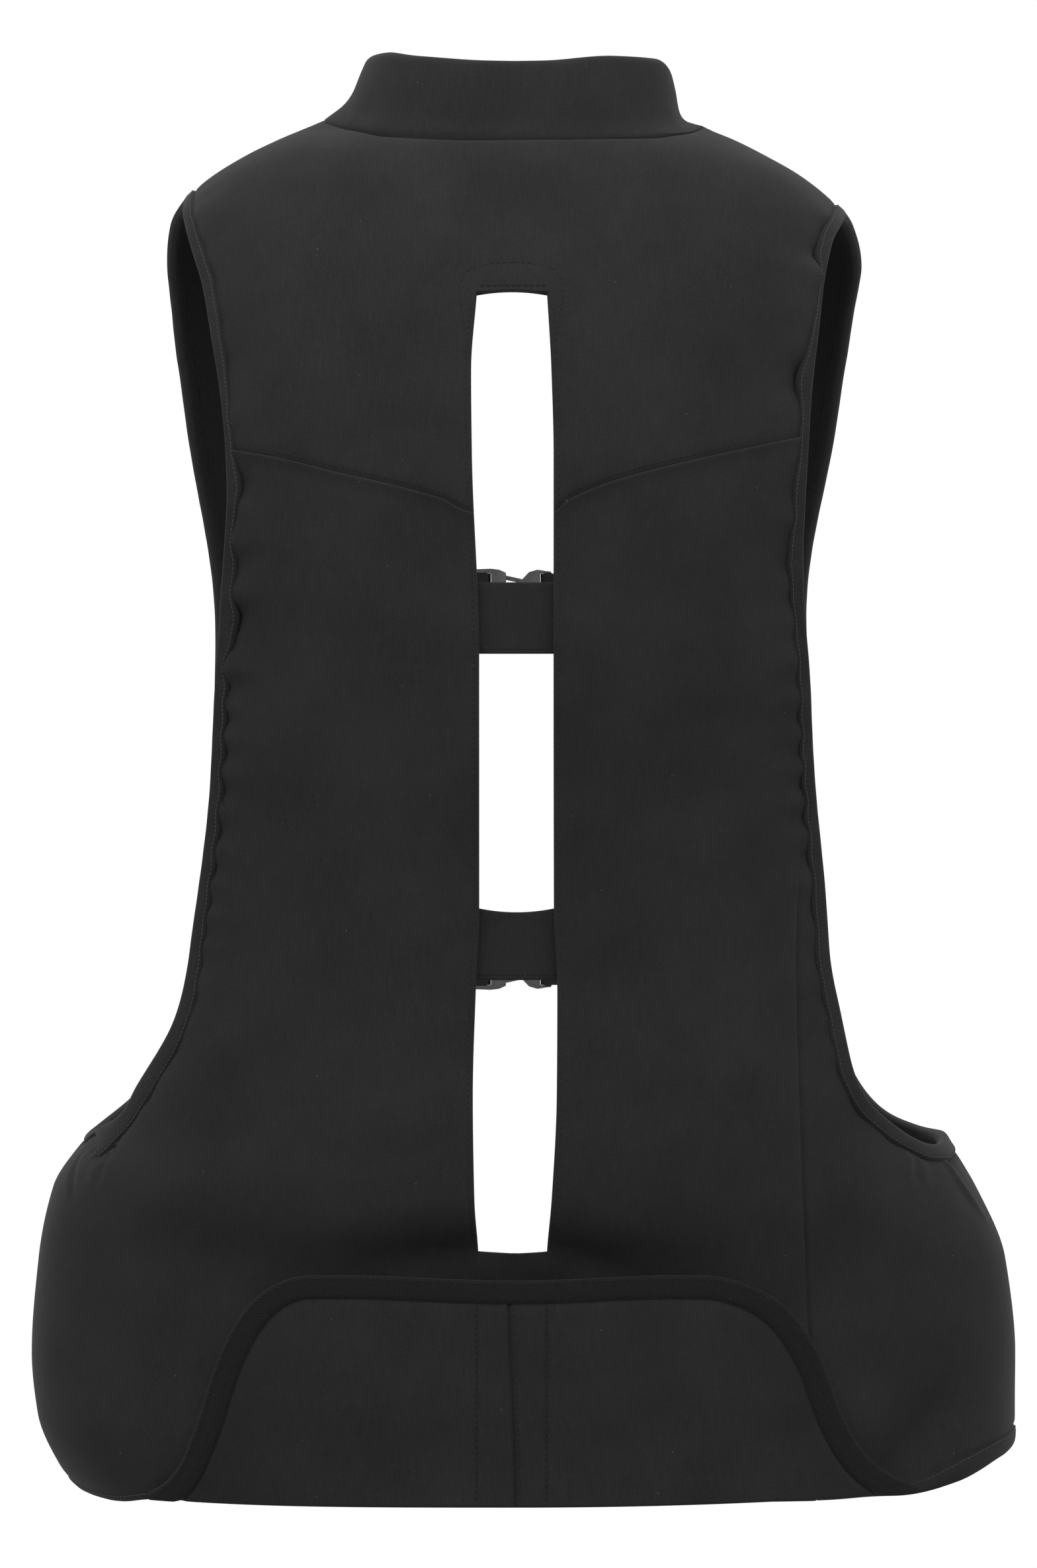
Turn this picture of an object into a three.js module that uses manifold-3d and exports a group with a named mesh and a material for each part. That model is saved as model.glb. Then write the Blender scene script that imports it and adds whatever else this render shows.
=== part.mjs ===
import * as THREE from "three";
import { mergeVertices } from "three/addons/utils/BufferGeometryUtils.js";
import Module from "manifold-3d";

// Airbag vest, in the form it has on a wearer. Millimetres, Z up, +X to the wearer's right,
// +Y to the wearer's front. The origin is the middle of the neck, level with the back collar seam.
// A place on the vest is a turn in degrees (0 the middle of the back, 90 the right side, -90 the
// left side, 180 the middle of the front) and a height z. The torso form gives the outer face there.

const SEAM_GAP = 0.3;
const PANEL_THICKNESS = 5;
const COLLAR_THICKNESS = 7;
const BINDING_WIDTH = 8.5;
const BINDING_PROUD = 0.8;
const TAPE_WIDTH = 11.5;
const TAIL_THICKNESS = 3;
const TAIL_LIFT_AT_HEM = 1.7;
const TAIL_LIFT_AT_TOP = 11;
const BRIDGE_THICKNESS = 2.2;
const BRIDGE_TUCK = 9;
const FRONT_HALF_GAP = 30;
const SHOULDER_SEAM_TURN = 84;
const WING_CORNER_Z = -305;
const WEBBING_WIDTH = 15;
const WEBBING_THICKNESS = 1.4;
const WEBBING_ON_PANEL = 48;
const SECTION_POWER = 2.4;

const table = (names, rows) =>
  rows.map((row) => Object.fromEntries(names.split(" ").map((name, i) => [name, row[i]])));

// Half widths and depths of the torso form at each height.
const TORSO = table("z left right back front", [
  [22, 68, 62, 20, 16],
  [14, 90, 83, 32, 26],
  [8, 104, 95, 47, 36],
  [3.5, 114, 105, 64, 42],
  [-4, 129, 119, 78, 50],
  [-14, 145, 136, 86, 60],
  [-24, 157, 149, 91, 71],
  [-36, 167, 162, 96, 83],
  [-60, 176, 176, 105, 101],
  [-100, 184, 184, 114, 113],
  [-160, 186, 186, 120, 119],
  [-240, 178, 178, 117, 117],
  [-320, 172, 172, 110, 112],
  [-380, 176, 176, 107, 110],
  [-430, 191, 190, 109, 112],
  [-466, 202, 203, 111, 114],
  [-496, 221, 220, 111, 117],
  [-530, 228, 234, 106, 119],
  [-574, 231, 239, 110, 120],
  [-604, 228, 239, 115, 120],
  [-628, 218, 238, 118, 119],
  [-645, 204, 236, 119, 118],
]);

// Round the neck: height of the collar seam and of the collar's top edge, how far the collar's foot
// flares out, and how far its sides tilt in above that.
const NECK = table("turn left right topLeft topRight flare tiltLeft tiltRight", [
  [0, 1.8, 1.8, 38, 38, 2.5, 4.5, 4.5],
  [14, 1.8, 1.8, 38.3, 38.3, 2.5, 4.5, 4.5],
  [43, 3.5, 3, 41, 41, 4, 5, 4],
  [65, 7.8, 6, 44, 41, 7, 7, 3.5],
  [90, 13.5, 11, 44, 32, 11, 9, 3],
  [110, 8, 6, 37, 28, 9, 8, 4],
  [135, -22, -22, 12, 11, 5, 7, 6],
  [152, -43, -43, -8, -8, 3, 6, 6],
  [180, -54, -54, -17, -17, 2.5, 5.5, 5.5],
]);

// Height of the lower edge round the body.
const HEM = table("turn left right", [
  [0, -640, -640],
  [50, -641, -640],
  [65, -641.5, -638.5],
  [72, -642, -635],
  [80, -641.5, -627],
  [90, -637, -620.5],
  [120, -628, -622],
  [180, -625, -625],
]);

// Edge of each side opening, from the shoulder tip down the back and up the front.
const ARM_EDGE = {
  left: table("face x z", [
    ["back", 165, -27],
    ["back", 158.5, -31],
    ["back", 149.5, -64],
    ["back", 140, -115],
    ["back", 136, -165],
    ["back", 140, -227],
    ["back", 144.3, -300],
    ["back", 153.5, -375],
    ["back", 163.5, -419],
    ["back", 180.5, -447],
    ["back", 188.5, -460],
    ["back", 215, -470],
    ["front", 193, -460.5],
    ["front", 181, -448.5],
    ["front", 160, -406],
    ["front", 147, -300],
    ["front", 148, -205],
    ["front", 159, -139],
    ["front", 167, -72],
  ]),
  right: table("face x z", [
    ["back", 170, -33],
    ["back", 153, -42.5],
    ["back", 147, -62],
    ["back", 140, -120],
    ["back", 136, -190],
    ["back", 140, -268],
    ["back", 146.5, -349],
    ["back", 152, -402],
    ["back", 164.5, -449],
    ["back", 180, -465],
    ["back", 196, -474],
    ["back", 215, -470],
    ["front", 194, -468],
    ["front", 178, -460.5],
    ["front", 163, -440],
    ["front", 152, -395],
    ["front", 145, -300],
    ["front", 143, -205],
    ["front", 155, -139],
    ["front", 165, -72],
  ]),
};

// Edges of the spine slot.
const SLOT_TOP = -74;
const SLOT_BOTTOM = -525;
const SLOT = table("z left right", [
  [-74, -18.2, 15],
  [-110, -20.8, 17],
  [-150, -20.4, 18],
  [-243, -17, 18],
  [-363, -17, 18.2],
  [-400, -18.6, 19.8],
  [-450, -20, 19.5],
  [-500, -19.2, 17],
  [-525, -17.6, 15],
]);

// The seam under the yoke, and the seam between a back panel and its hip wing.
const YOKE_SEAM = table("x z", [
  [-145, -145],
  [-112, -151],
  [-84, -158],
  [-58, -164],
  [-36, -170],
  [-19, -177],
  [17, -177],
  [25, -171],
  [47, -162],
  [81, -153],
  [116, -145],
  [145, -138.5],
]);
const WING_SEAM = table("z x", [
  [-290, 138],
  [-340, 134.5],
  [-389, 132.8],
  [-470, 134.5],
  [-553, 138.5],
  [-645, 142],
]);

// Upper edge of the bell-shaped tail panel, from the left foot to the right foot.
const BELL = table("x z", [
  [-173, -637],
  [-164, -632],
  [-157, -625],
  [-148, -606],
  [-135, -571],
  [-121, -548],
  [-104, -536],
  [-82, -534],
  [0, -536.5],
  [75, -534],
  [98, -536],
  [122, -548],
  [139, -571],
  [151, -600],
  [162, -618],
  [176, -629],
  [190, -635],
]);

const BRIDGES = table("name top bottom sag", [
  ["bridge_upper", -210, -243.5, 0],
  ["bridge_lower", -360.4, -395.7, 4],
]);
const FASTENINGS = table("name z", [
  ["upper", -208.5],
  ["lower", -394.7],
]);

// Half outlines of the buckle's two halves, lengthways from the middle of the front gap.
const SOCKET_EDGE = table("along half", [
  [-24, 6.5],
  [-23, 8.6],
  [-20, 9.6],
  [-12, 9.9],
  [-8, 9.4],
  [-4.6, 7.9],
]);
const PLUG_EDGE = table("along half", [
  [1.6, 4.2],
  [3.4, 4.8],
  [6.6, 8.2],
  [10.6, 9.4],
  [13, 9.1],
  [14.6, 8.8],
  [17.4, 8.5],
  [18, 7],
]);
const PLUG_ARM = table("along half", [
  [4, 4.6],
  [-4.4, 6.5],
  [-8, 6.5],
  [-9.5, 5.4],
  [-8, 4.3],
  [-4.4, 4.3],
  [2.6, 2.8],
  [4, 2.8],
]);
const BUCKLE = {
  thickness: 6,
  plate: 2.4,
  cavity: 3,
  barThickness: 3,
  slotHalf: 7.65,
  socketSlot: [-14.2, -11.9],
  plugSlot: [12.2, 14.5],
};

const CLOTH = { color: 0x2c2d2c, roughness: 0.92, metalness: 0 };
const TRIM = { color: 0x252625, roughness: 0.85, metalness: 0 };
const TWILL = { color: 0x222322, roughness: 0.9, metalness: 0 };
const WEBBING = { color: 0x1f201f, roughness: 0.85, metalness: 0 };
const PLASTIC = { color: 0x2f3130, roughness: 0.5, metalness: 0 };

const radians = THREE.MathUtils.degToRad;
const degrees = THREE.MathUtils.radToDeg;
const mix = THREE.MathUtils.lerp;
const sideName = (turn) => (turn < 0 ? "left" : "right");

// A column's value between rows, on a cubic that doesn't overshoot.
function sample(rows, by, key, at) {
  const last = rows.length - 1;
  const rising = Math.sign(rows[last][by] - rows[0][by]);
  let i = 0;
  while (i < last - 1 && rising * (at - rows[i + 1][by]) > 0) i += 1;
  const slope = (k) => (rows[k + 1][key] - rows[k][key]) / (rows[k + 1][by] - rows[k][by]);
  const tangent = (k) => {
    if (k === 0) return slope(0);
    if (k === last) return slope(last - 1);
    const before = slope(k - 1);
    const after = slope(k);
    return before * after <= 0 ? 0 : (2 * before * after) / (before + after);
  };
  const span = rows[i + 1][by] - rows[i][by];
  const t = THREE.MathUtils.clamp((at - rows[i][by]) / span, 0, 1);
  const fromStart = (1 + 2 * t) * (1 - t) ** 2 * rows[i][key] + t * (1 - t) ** 2 * span * tangent(i);
  const fromEnd = t * t * (3 - 2 * t) * rows[i + 1][key] - t * t * (1 - t) * span * tangent(i + 1);
  return fromStart + fromEnd;
}

const neckZ = (turn) => sample(NECK, "turn", sideName(turn), Math.abs(turn));
const hemZ = (turn) => sample(HEM, "turn", sideName(turn), Math.abs(turn));
const yokeSeamZ = (x) => sample(YOKE_SEAM, "x", "z", x);
const slotX = (z, side) => sample(SLOT, "z", side, z);
const wingSeamX = (z) => sample(WING_SEAM, "z", "x", z);

// The torso form's outer face: a rounded oval section at each height.
function form(turn, z) {
  const angle = radians(turn);
  const width = sample(TORSO, "z", sideName(turn), z);
  const depth = sample(TORSO, "z", Math.cos(angle) > 0 ? "back" : "front", z);
  const across = Math.abs(Math.sin(angle)) / width;
  const along = Math.abs(Math.cos(angle)) / depth;
  const radius = (across ** SECTION_POWER + along ** SECTION_POWER) ** (-1 / SECTION_POWER);
  return new THREE.Vector3(radius * Math.sin(angle), -radius * Math.cos(angle), z);
}

function formSlopes({ turn, z }) {
  const step = 0.25;
  const byTurn = form(turn + step, z).sub(form(turn - step, z)).divideScalar(2 * step);
  const byZ = form(turn, z + step).sub(form(turn, z - step)).divideScalar(2 * step);
  return { byTurn, byZ, normal: byTurn.clone().cross(byZ).normalize() };
}

const lifted = (place, lift) => form(place.turn, place.z).addScaledVector(formSlopes(place).normal, lift);

// The place on the form's back or front face with a given x.
function placeAt(x, z, face = "back") {
  const width = sample(TORSO, "z", sideName(x), z);
  const depth = sample(TORSO, "z", face, z);
  const share = Math.min(Math.abs(x) / width, 1) ** SECTION_POWER;
  const along = depth * (1 - share) ** (1 / SECTION_POWER);
  return { turn: degrees(Math.atan2(x, face === "back" ? along : -along)), z };
}

// The place that lies an offset away from another along the form, in a direction in space.
function moved(place, direction, distance) {
  const { byTurn, byZ } = formSlopes(place);
  const [tt, tz, zz] = [byTurn.dot(byTurn), byTurn.dot(byZ), byZ.dot(byZ)];
  const [dt, dz] = [byTurn.dot(direction) * distance, byZ.dot(direction) * distance];
  const det = tt * zz - tz * tz;
  return { turn: place.turn + (dt * zz - dz * tz) / det, z: place.z + (dz * tt - dt * tz) / det };
}

// A side opening's edge, or a line that runs beside it on the cloth.
function armLine(side, offset, count = 240) {
  const sign = side === "left" ? -1 : 1;
  const perDegree = 2.6;
  const controls = ARM_EDGE[side].map(({ face, x, z }) => {
    const { turn } = placeAt(sign * x, z, face);
    return new THREE.Vector3(turn * perDegree, z, 0);
  });
  const curve = new THREE.CatmullRomCurve3(controls, true);
  const edge = curve.getSpacedPoints(count).slice(0, count);
  const places = edge.map((p) => ({ turn: p.x / perDegree, z: p.y }));
  return places.map((place, i) => {
    const before = places[(i + count - 1) % count];
    const after = places[(i + 1) % count];
    const ahead = form(after.turn, after.z).sub(form(before.turn, before.z)).normalize();
    const outward = ahead.cross(formSlopes(place).normal).multiplyScalar(sign);
    return moved(place, outward, offset);
  });
}

// Where a side opening's line first passes a height, going down its back or up its front.
function passing(line, face, z) {
  const lowest = line.reduce((best, p, i) => (p.z < line[best].z ? i : best), 0);
  if (face === "back") return line.findIndex((p) => p.z < z);
  return line.findIndex((p, i) => i > lowest && p.z > z);
}

const lengthOf = (a, b) => form(a.turn, a.z).distanceTo(form(b.turn, b.z));

// Points spread evenly along a path of places.
function spread(path, count) {
  const run = [0];
  for (let i = 1; i < path.length; i += 1) run.push(run[i - 1] + lengthOf(path[i - 1], path[i]));
  const points = [];
  let i = 0;
  for (let k = 0; k <= count; k += 1) {
    const at = (run[run.length - 1] * k) / count;
    while (i < path.length - 2 && run[i + 1] < at) i += 1;
    const t = THREE.MathUtils.clamp((at - run[i]) / (run[i + 1] - run[i] || 1), 0, 1);
    points.push({ turn: mix(path[i].turn, path[i + 1].turn, t), z: mix(path[i].z, path[i + 1].z, t) });
  }
  return points;
}

// A path made by a function of a share from 0 to 1.
const trace = (place, count = 32) => Array.from({ length: count + 1 }, (_, i) => place(i / count));
const straight = (a, b) => trace((t) => ({ turn: mix(a.turn, b.turn, t), z: mix(a.z, b.z, t) }));

// Fills four edges with rows of places: bottom and top run the same way, as do start and end.
function fill(bottom, top, start, end) {
  const rows = start.length - 1;
  const columns = bottom.length - 1;
  const blend = (r, c, key) => {
    const v = r / rows;
    const u = c / columns;
    const ruled = mix(bottom[c][key], top[c][key], v) + mix(start[r][key], end[r][key], u);
    const low = mix(bottom[0][key], bottom[columns][key], u);
    const high = mix(top[0][key], top[columns][key], u);
    return ruled - mix(low, high, v);
  };
  return start.map((_, r) => bottom.map((__, c) => ({ turn: blend(r, c, "turn"), z: blend(r, c, "z") })));
}

// Turns the faces of a closed mesh outwards.
function facingOut(positions, triangles) {
  const [a, b, c] = [new THREE.Vector3(), new THREE.Vector3(), new THREE.Vector3()];
  let volume = 0;
  for (const [i, j, k] of triangles) {
    volume += a.copy(positions[i]).dot(b.copy(positions[j]).cross(c.copy(positions[k])));
  }
  const turned = volume < 0 ? triangles.map(([i, j, k]) => [i, k, j]) : triangles;
  const geometry = new THREE.BufferGeometry().setFromPoints(positions);
  geometry.setIndex(turned.flat());
  geometry.computeVertexNormals();
  return geometry;
}

// A closed wall between an outer and an inner grid of points; missing cells leave a notch.
function wall(outer, inner, hasCell = () => true) {
  const rows = outer.length - 1;
  const columns = outer[0].length - 1;
  const isCell = (r, c) => r >= 0 && c >= 0 && r < rows && c < columns && hasCell(r, c);
  const positions = [];
  const numbers = new Map();
  const number = (layer, r, c) => {
    const key = `${layer}:${r}:${c}`;
    if (!numbers.has(key)) {
      numbers.set(key, positions.length);
      positions.push(layer === 0 ? outer[r][c] : inner[r][c]);
    }
    return numbers.get(key);
  };
  const triangles = [];
  const quad = (p, q, s, t) => triangles.push([p, q, s], [p, s, t]);
  for (let r = 0; r < rows; r += 1) {
    for (let c = 0; c < columns; c += 1) {
      if (!isCell(r, c)) continue;
      const ring = [[r, c], [r, c + 1], [r + 1, c + 1], [r + 1, c]];
      const beside = [[r - 1, c], [r, c + 1], [r + 1, c], [r, c - 1]];
      quad(...ring.map(([i, j]) => number(0, i, j)));
      quad(...ring.map(([i, j]) => number(1, i, j)).reverse());
      ring.forEach(([i, j], k) => {
        if (isCell(...beside[k])) return;
        const [m, n] = ring[(k + 1) % 4];
        quad(number(0, m, n), number(0, i, j), number(1, i, j), number(1, m, n));
      });
    }
  }
  return facingOut(positions, triangles);
}

// A wall of even thickness on the form.
function panel(places, lift, thickness, hasCell) {
  const layer = (height) => places.map((row) => row.map((place) => lifted(place, height)));
  return wall(layer(lift), layer(lift - thickness), hasCell);
}

// A solid with the given closed sections along it, either a ring or capped at both ends.
function loft(sections, isRing) {
  const around = sections[0].length;
  const positions = sections.flat();
  const triangles = [];
  const stretches = isRing ? sections.length : sections.length - 1;
  for (let s = 0; s < stretches; s += 1) {
    const near = s * around;
    const far = ((s + 1) % sections.length) * around;
    for (let k = 0; k < around; k += 1) {
      const next = (k + 1) % around;
      triangles.push([near + k, near + next, far + next], [near + k, far + next, far + k]);
    }
  }
  const cap = (first, isEnd) => {
    for (let low = 0, high = around - 1; low + 1 < high; low += 1, high -= 1) {
      const strip = [[low, high, low + 1]];
      if (low + 1 < high - 1) strip.push([low + 1, high, high - 1]);
      strip.forEach(([i, j, k]) => {
        triangles.push(isEnd ? [first + i, first + k, first + j] : [first + i, first + j, first + k]);
      });
    }
  };
  if (!isRing) {
    cap(0, false);
    cap((sections.length - 1) * around, true);
  }
  return facingOut(positions, triangles);
}

const solids = await Module();
solids.setup();

// A closed geometry as a solid that can be joined and cut.
function solidFrom(geometry) {
  const bare = new THREE.BufferGeometry().setAttribute("position", geometry.getAttribute("position"));
  if (geometry.index) bare.setIndex(geometry.index);
  const merged = mergeVertices(bare, 1e-4);
  const mesh = new solids.Mesh({
    numProp: 3,
    vertProperties: merged.attributes.position.array,
    triVerts: new Uint32Array(merged.index.array),
  });
  return new solids.Manifold(mesh);
}

function geometryFrom(solid) {
  const mesh = solid.getMesh();
  const geometry = new THREE.BufferGeometry();
  geometry.setAttribute("position", new THREE.BufferAttribute(new Float32Array(mesh.vertProperties), 3));
  geometry.setIndex(new THREE.BufferAttribute(new Uint32Array(mesh.triVerts), 1));
  geometry.computeVertexNormals();
  return geometry;
}

// Corners of a binding's section: distance from the free edge and height over the cloth.
function bindingSection(width) {
  const low = -PANEL_THICKNESS - BINDING_PROUD;
  return [
    [0, -PANEL_THICKNESS / 2],
    [1.4, 0.1],
    [width * 0.45, BINDING_PROUD],
    [width, BINDING_PROUD * 0.6],
    [width, low + BINDING_PROUD * 0.4],
    [width * 0.45, low],
    [1.4, low + 0.9],
  ];
}

const vest = new THREE.Group();
vest.name = "airbag_vest";

function add(name, geometry, look) {
  const mesh = new THREE.Mesh(geometry, new THREE.MeshStandardMaterial(look));
  mesh.name = name;
  vest.add(mesh);
}

const SIDES = { left: -1, right: 1 };
const ARM_STATIONS = 48;

// Each panel runs a little way under the binding and is then trimmed just short of it.
const armInset = { left: armLine("left", BINDING_WIDTH - 2), right: armLine("right", BINDING_WIDTH - 2) };

// A ring round a side opening with corners given as distance from the edge and height.
function armRing(side, corners) {
  const lines = corners.map(([across]) => armLine(side, across));
  const every = lines[0].length / ARM_STATIONS;
  const sections = Array.from({ length: ARM_STATIONS }, (_, i) =>
    corners.map(([, lift], k) => lifted(lines[k][i * every], lift)),
  );
  return loft(sections, true);
}

function armTrimmed(geometry, sides) {
  const [low, high, width] = [-2 * PANEL_THICKNESS, PANEL_THICKNESS, BINDING_WIDTH + SEAM_GAP];
  const band = [[0.6, low], [0.6, high], [width, high], [width, low]];
  const grown = bindingSection(width).map(([across, lift]) => {
    const isOutside = lift > -PANEL_THICKNESS / 2;
    return [across, isOutside ? lift + SEAM_GAP : lift - SEAM_GAP];
  });
  const cutters = sides.flatMap((side) => [band, grown].map((corners) => solidFrom(armRing(side, corners))));
  const cut = cutters.reduce((solid, cutter) => solid.subtract(cutter), solidFrom(geometry));
  const [largest] = cut.decompose().sort((a, b) => b.volume() - a.volume());
  return geometryFrom(largest.simplify(0.06));
}

// The side of a yoke or front panel: up the arm opening, then along the shoulder seam to the neck.
function shoulderSide(side, face, from) {
  const sign = SIDES[side];
  const seam = SHOULDER_SEAM_TURN + (face === "back" ? -0.1 : 0.1);
  const line = armInset[side];
  const crossing = line.findIndex((p) => Math.abs(p.turn) < seam);
  const climb =
    face === "back" ? line.slice(crossing, from).reverse() : [...line.slice(from), ...line.slice(0, crossing)];
  const tip = { turn: sign * seam, z: line[crossing].z };
  return [...climb, ...straight(tip, { turn: sign * seam, z: neckZ(sign * seam) })];
}

// Where the yoke seam reaches a side opening's line.
function yokeSeamEnd(side) {
  return armInset[side].findIndex((p) => p.z < yokeSeamZ(form(p.turn, p.z).x));
}

// Upper back and shoulders, with the top of the slot cut in from below.
function addYoke() {
  const [slotRows, topRows, sideColumns, middleColumns] = [6, 6, 8, 3];
  const half = (side) => {
    const sign = SIDES[side];
    const slotCorner = (z) => placeAt(slotX(z, side), z);
    const seamEnd = yokeSeamEnd(side);
    const endX = form(armInset[side][seamEnd].turn, armInset[side][seamEnd].z).x;
    const seam = trace((t) => {
      const x = mix(slotX(-177, side), endX, t);
      return placeAt(x, yokeSeamZ(x) + SEAM_GAP / 2);
    });
    const slotSide = trace((t) => slotCorner(mix(seam[0].z, SLOT_TOP, t)));
    const topX = slotX(SLOT_TOP, side);
    const neckTurn = placeAt(topX, neckZ(sign * 12)).turn;
    const overSlot = straight(slotCorner(SLOT_TOP), { turn: neckTurn, z: neckZ(neckTurn) });
    const start = [...spread(slotSide, slotRows), ...spread(overSlot, topRows).slice(1)];
    const outer = shoulderSide(side, "back", seamEnd);
    const end = spread([seam[seam.length - 1], ...outer], slotRows + topRows);
    const neckEnd = end[end.length - 1];
    const neck = trace((t) => {
      const turn = mix(neckTurn, neckEnd.turn, t);
      return { turn, z: neckZ(turn) };
    });
    return fill(spread(seam, sideColumns), spread(neck, sideColumns), start, end);
  };
  const left = half("left");
  const right = half("right");
  const places = left.map((row, r) => {
    const [a, b] = [row[0], right[r][0]];
    const middle = Array.from({ length: middleColumns - 1 }, (_, i) => {
      const t = (i + 1) / middleColumns;
      const turn = mix(a.turn, b.turn, t);
      const z = r === slotRows + topRows ? neckZ(turn) : mix(a.z, b.z, t);
      return { turn, z };
    });
    return [...[...row].reverse(), ...middle, ...right[r]];
  });
  const isNotch = (r, c) => r < slotRows && c >= sideColumns && c < sideColumns + middleColumns;
  const yoke = panel(places, 0, PANEL_THICKNESS, (r, c) => !isNotch(r, c));
  add("back_yoke", armTrimmed(yoke, ["left", "right"]), CLOTH);
}

// Back beside the slot, with the strip that meets the other side below it.
function addBackPanel(side) {
  const [lowRows, slotRows, stripColumns, sideColumns] = [5, 15, 2, 8];
  const sign = SIDES[side];
  const line = armInset[side];
  const corner = passing(line, "back", WING_CORNER_Z);
  const wingSeam = trace((t) => {
    const z = mix(-640, WING_CORNER_Z - 12, t);
    return placeAt(sign * (wingSeamX(z) - SEAM_GAP * 0.8), z);
  });
  const hemStart = { turn: sign * 0.08, z: -640 };
  const slotEdge = (z) => placeAt(slotX(z, side), z);
  const seamEnd = yokeSeamEnd(side);
  const topX = form(line[seamEnd].turn, line[seamEnd].z).x;
  const seam = trace((t) => {
    const x = mix(slotX(-177, side), topX, t);
    return placeAt(x, yokeSeamZ(x) - SEAM_GAP / 2);
  });
  const low = straight(placeAt(slotX(SLOT_BOTTOM, side), -640), slotEdge(SLOT_BOTTOM));
  const high = trace((t) => slotEdge(mix(SLOT_BOTTOM, seam[0].z, t)));
  const start = [...spread(low, lowRows), ...spread(high, slotRows).slice(1)];
  const arm = line.slice(seamEnd + 1, corner).reverse();
  const lowSide = wingSeam.filter((p) => p.z <= SLOT_BOTTOM);
  const highSide = [...wingSeam.filter((p) => p.z > SLOT_BOTTOM), ...arm, seam[seam.length - 1]];
  const end = [...spread([...lowSide, highSide[0]], lowRows), ...spread(highSide, slotRows).slice(1)];
  const hem = straight(start[0], end[0]);
  const main = fill(spread(hem, sideColumns), spread(seam, sideColumns), start, end);
  const places = main.map((row, r) => {
    const strip = Array.from({ length: stripColumns }, (_, i) => {
      const t = i / stripColumns;
      return { turn: mix(hemStart.turn, row[0].turn, t), z: row[0].z };
    });
    return [...strip, ...row];
  });
  const hasCell = (r, c) => r < lowRows || c >= stripColumns;
  add(`back_panel_${side}`, armTrimmed(panel(places, 0, PANEL_THICKNESS, hasCell), [side]), CLOTH);
}

// Hip wing: round the side below the arm opening, from the back seam to the front seam.
function addHipWing(side) {
  const [rows, columns] = [6, 22];
  const sign = SIDES[side];
  const line = armInset[side];
  const top = line.slice(passing(line, "back", WING_CORNER_Z) + 1, passing(line, "front", WING_CORNER_Z) - 1);
  const edge = BINDING_WIDTH + SEAM_GAP;
  const seamUp = (face, corner) => {
    const x = (z) => sign * (wingSeamX(z) + SEAM_GAP * 0.8);
    const low = hemZ(placeAt(x(-632), -632, face).turn) + edge;
    const rise = trace((t) => mix(low, WING_CORNER_Z - 12, t));
    return [...rise.map((z) => placeAt(x(z), z, face)), corner];
  };
  const start = seamUp("back", top[0]);
  const end = seamUp("front", top[top.length - 1]);
  const hem = trace((t) => {
    const turn = mix(start[0].turn, end[0].turn, t);
    return { turn, z: hemZ(turn) + edge };
  });
  const places = fill(spread(hem, columns), spread(top, columns), spread(start, rows), spread(end, rows));
  add(`hip_wing_${side}`, armTrimmed(panel(places, 0, PANEL_THICKNESS), [side]), CLOTH);
}

// Binding on the hip wing's lower edge.
function addHemBinding(side) {
  const count = 20;
  const sign = SIDES[side];
  const [from, to] = ["back", "front"].map((face) => {
    const x = sign * (wingSeamX(-636) + 4 * SEAM_GAP);
    return placeAt(x, -636, face).turn;
  });
  const sections = trace((t) => mix(from, to, t), count).map((turn) =>
    bindingSection(BINDING_WIDTH).map(([up, lift]) => lifted({ turn, z: hemZ(turn) + up }, lift)),
  );
  add(`hem_binding_${side}`, loft(sections, false), TRIM);
}

// Front panel: plain, from the shoulder seam to the hem beside the open middle.
function addFrontPanel(side) {
  const [rows, columns] = [20, 7];
  const sign = SIDES[side];
  const corner = passing(armInset[side], "front", WING_CORNER_Z);
  const gapEdge = (z) => placeAt(sign * FRONT_HALF_GAP, z, "front");
  const neckTop = neckZ(sign * 164);
  const start = trace((t) => gapEdge(mix(hemZ(180), neckTop, t)));
  const foot = wingSeamX(-625) - SEAM_GAP * 0.8;
  const wingSeam = trace((t) => {
    const z = mix(hemZ(sign * 130), WING_CORNER_Z - 12, t);
    return placeAt(sign * (wingSeamX(z) - SEAM_GAP * 0.8), z, "front");
  });
  const end = [...wingSeam, ...shoulderSide(side, "front", corner)];
  const hem = trace((t) => {
    const { turn } = placeAt(sign * mix(FRONT_HALF_GAP, foot, t), -625, "front");
    return { turn, z: hemZ(turn) };
  });
  const shoulder = end[end.length - 1];
  const top = start[start.length - 1];
  const neck = trace((t) => {
    const turn = mix(top.turn, shoulder.turn, t);
    return { turn, z: neckZ(turn) };
  });
  const places = fill(spread(hem, columns), spread(neck, columns), spread(start, rows), spread(end, rows));
  add(`front_panel_${side}`, armTrimmed(panel(places, 0, PANEL_THICKNESS), [side]), CLOTH);
}

// Rolled binding round a side opening.
function addArmBinding(side) {
  add(`arm_binding_${side}`, armRing(side, bindingSection(BINDING_WIDTH)), TRIM);
}

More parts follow.
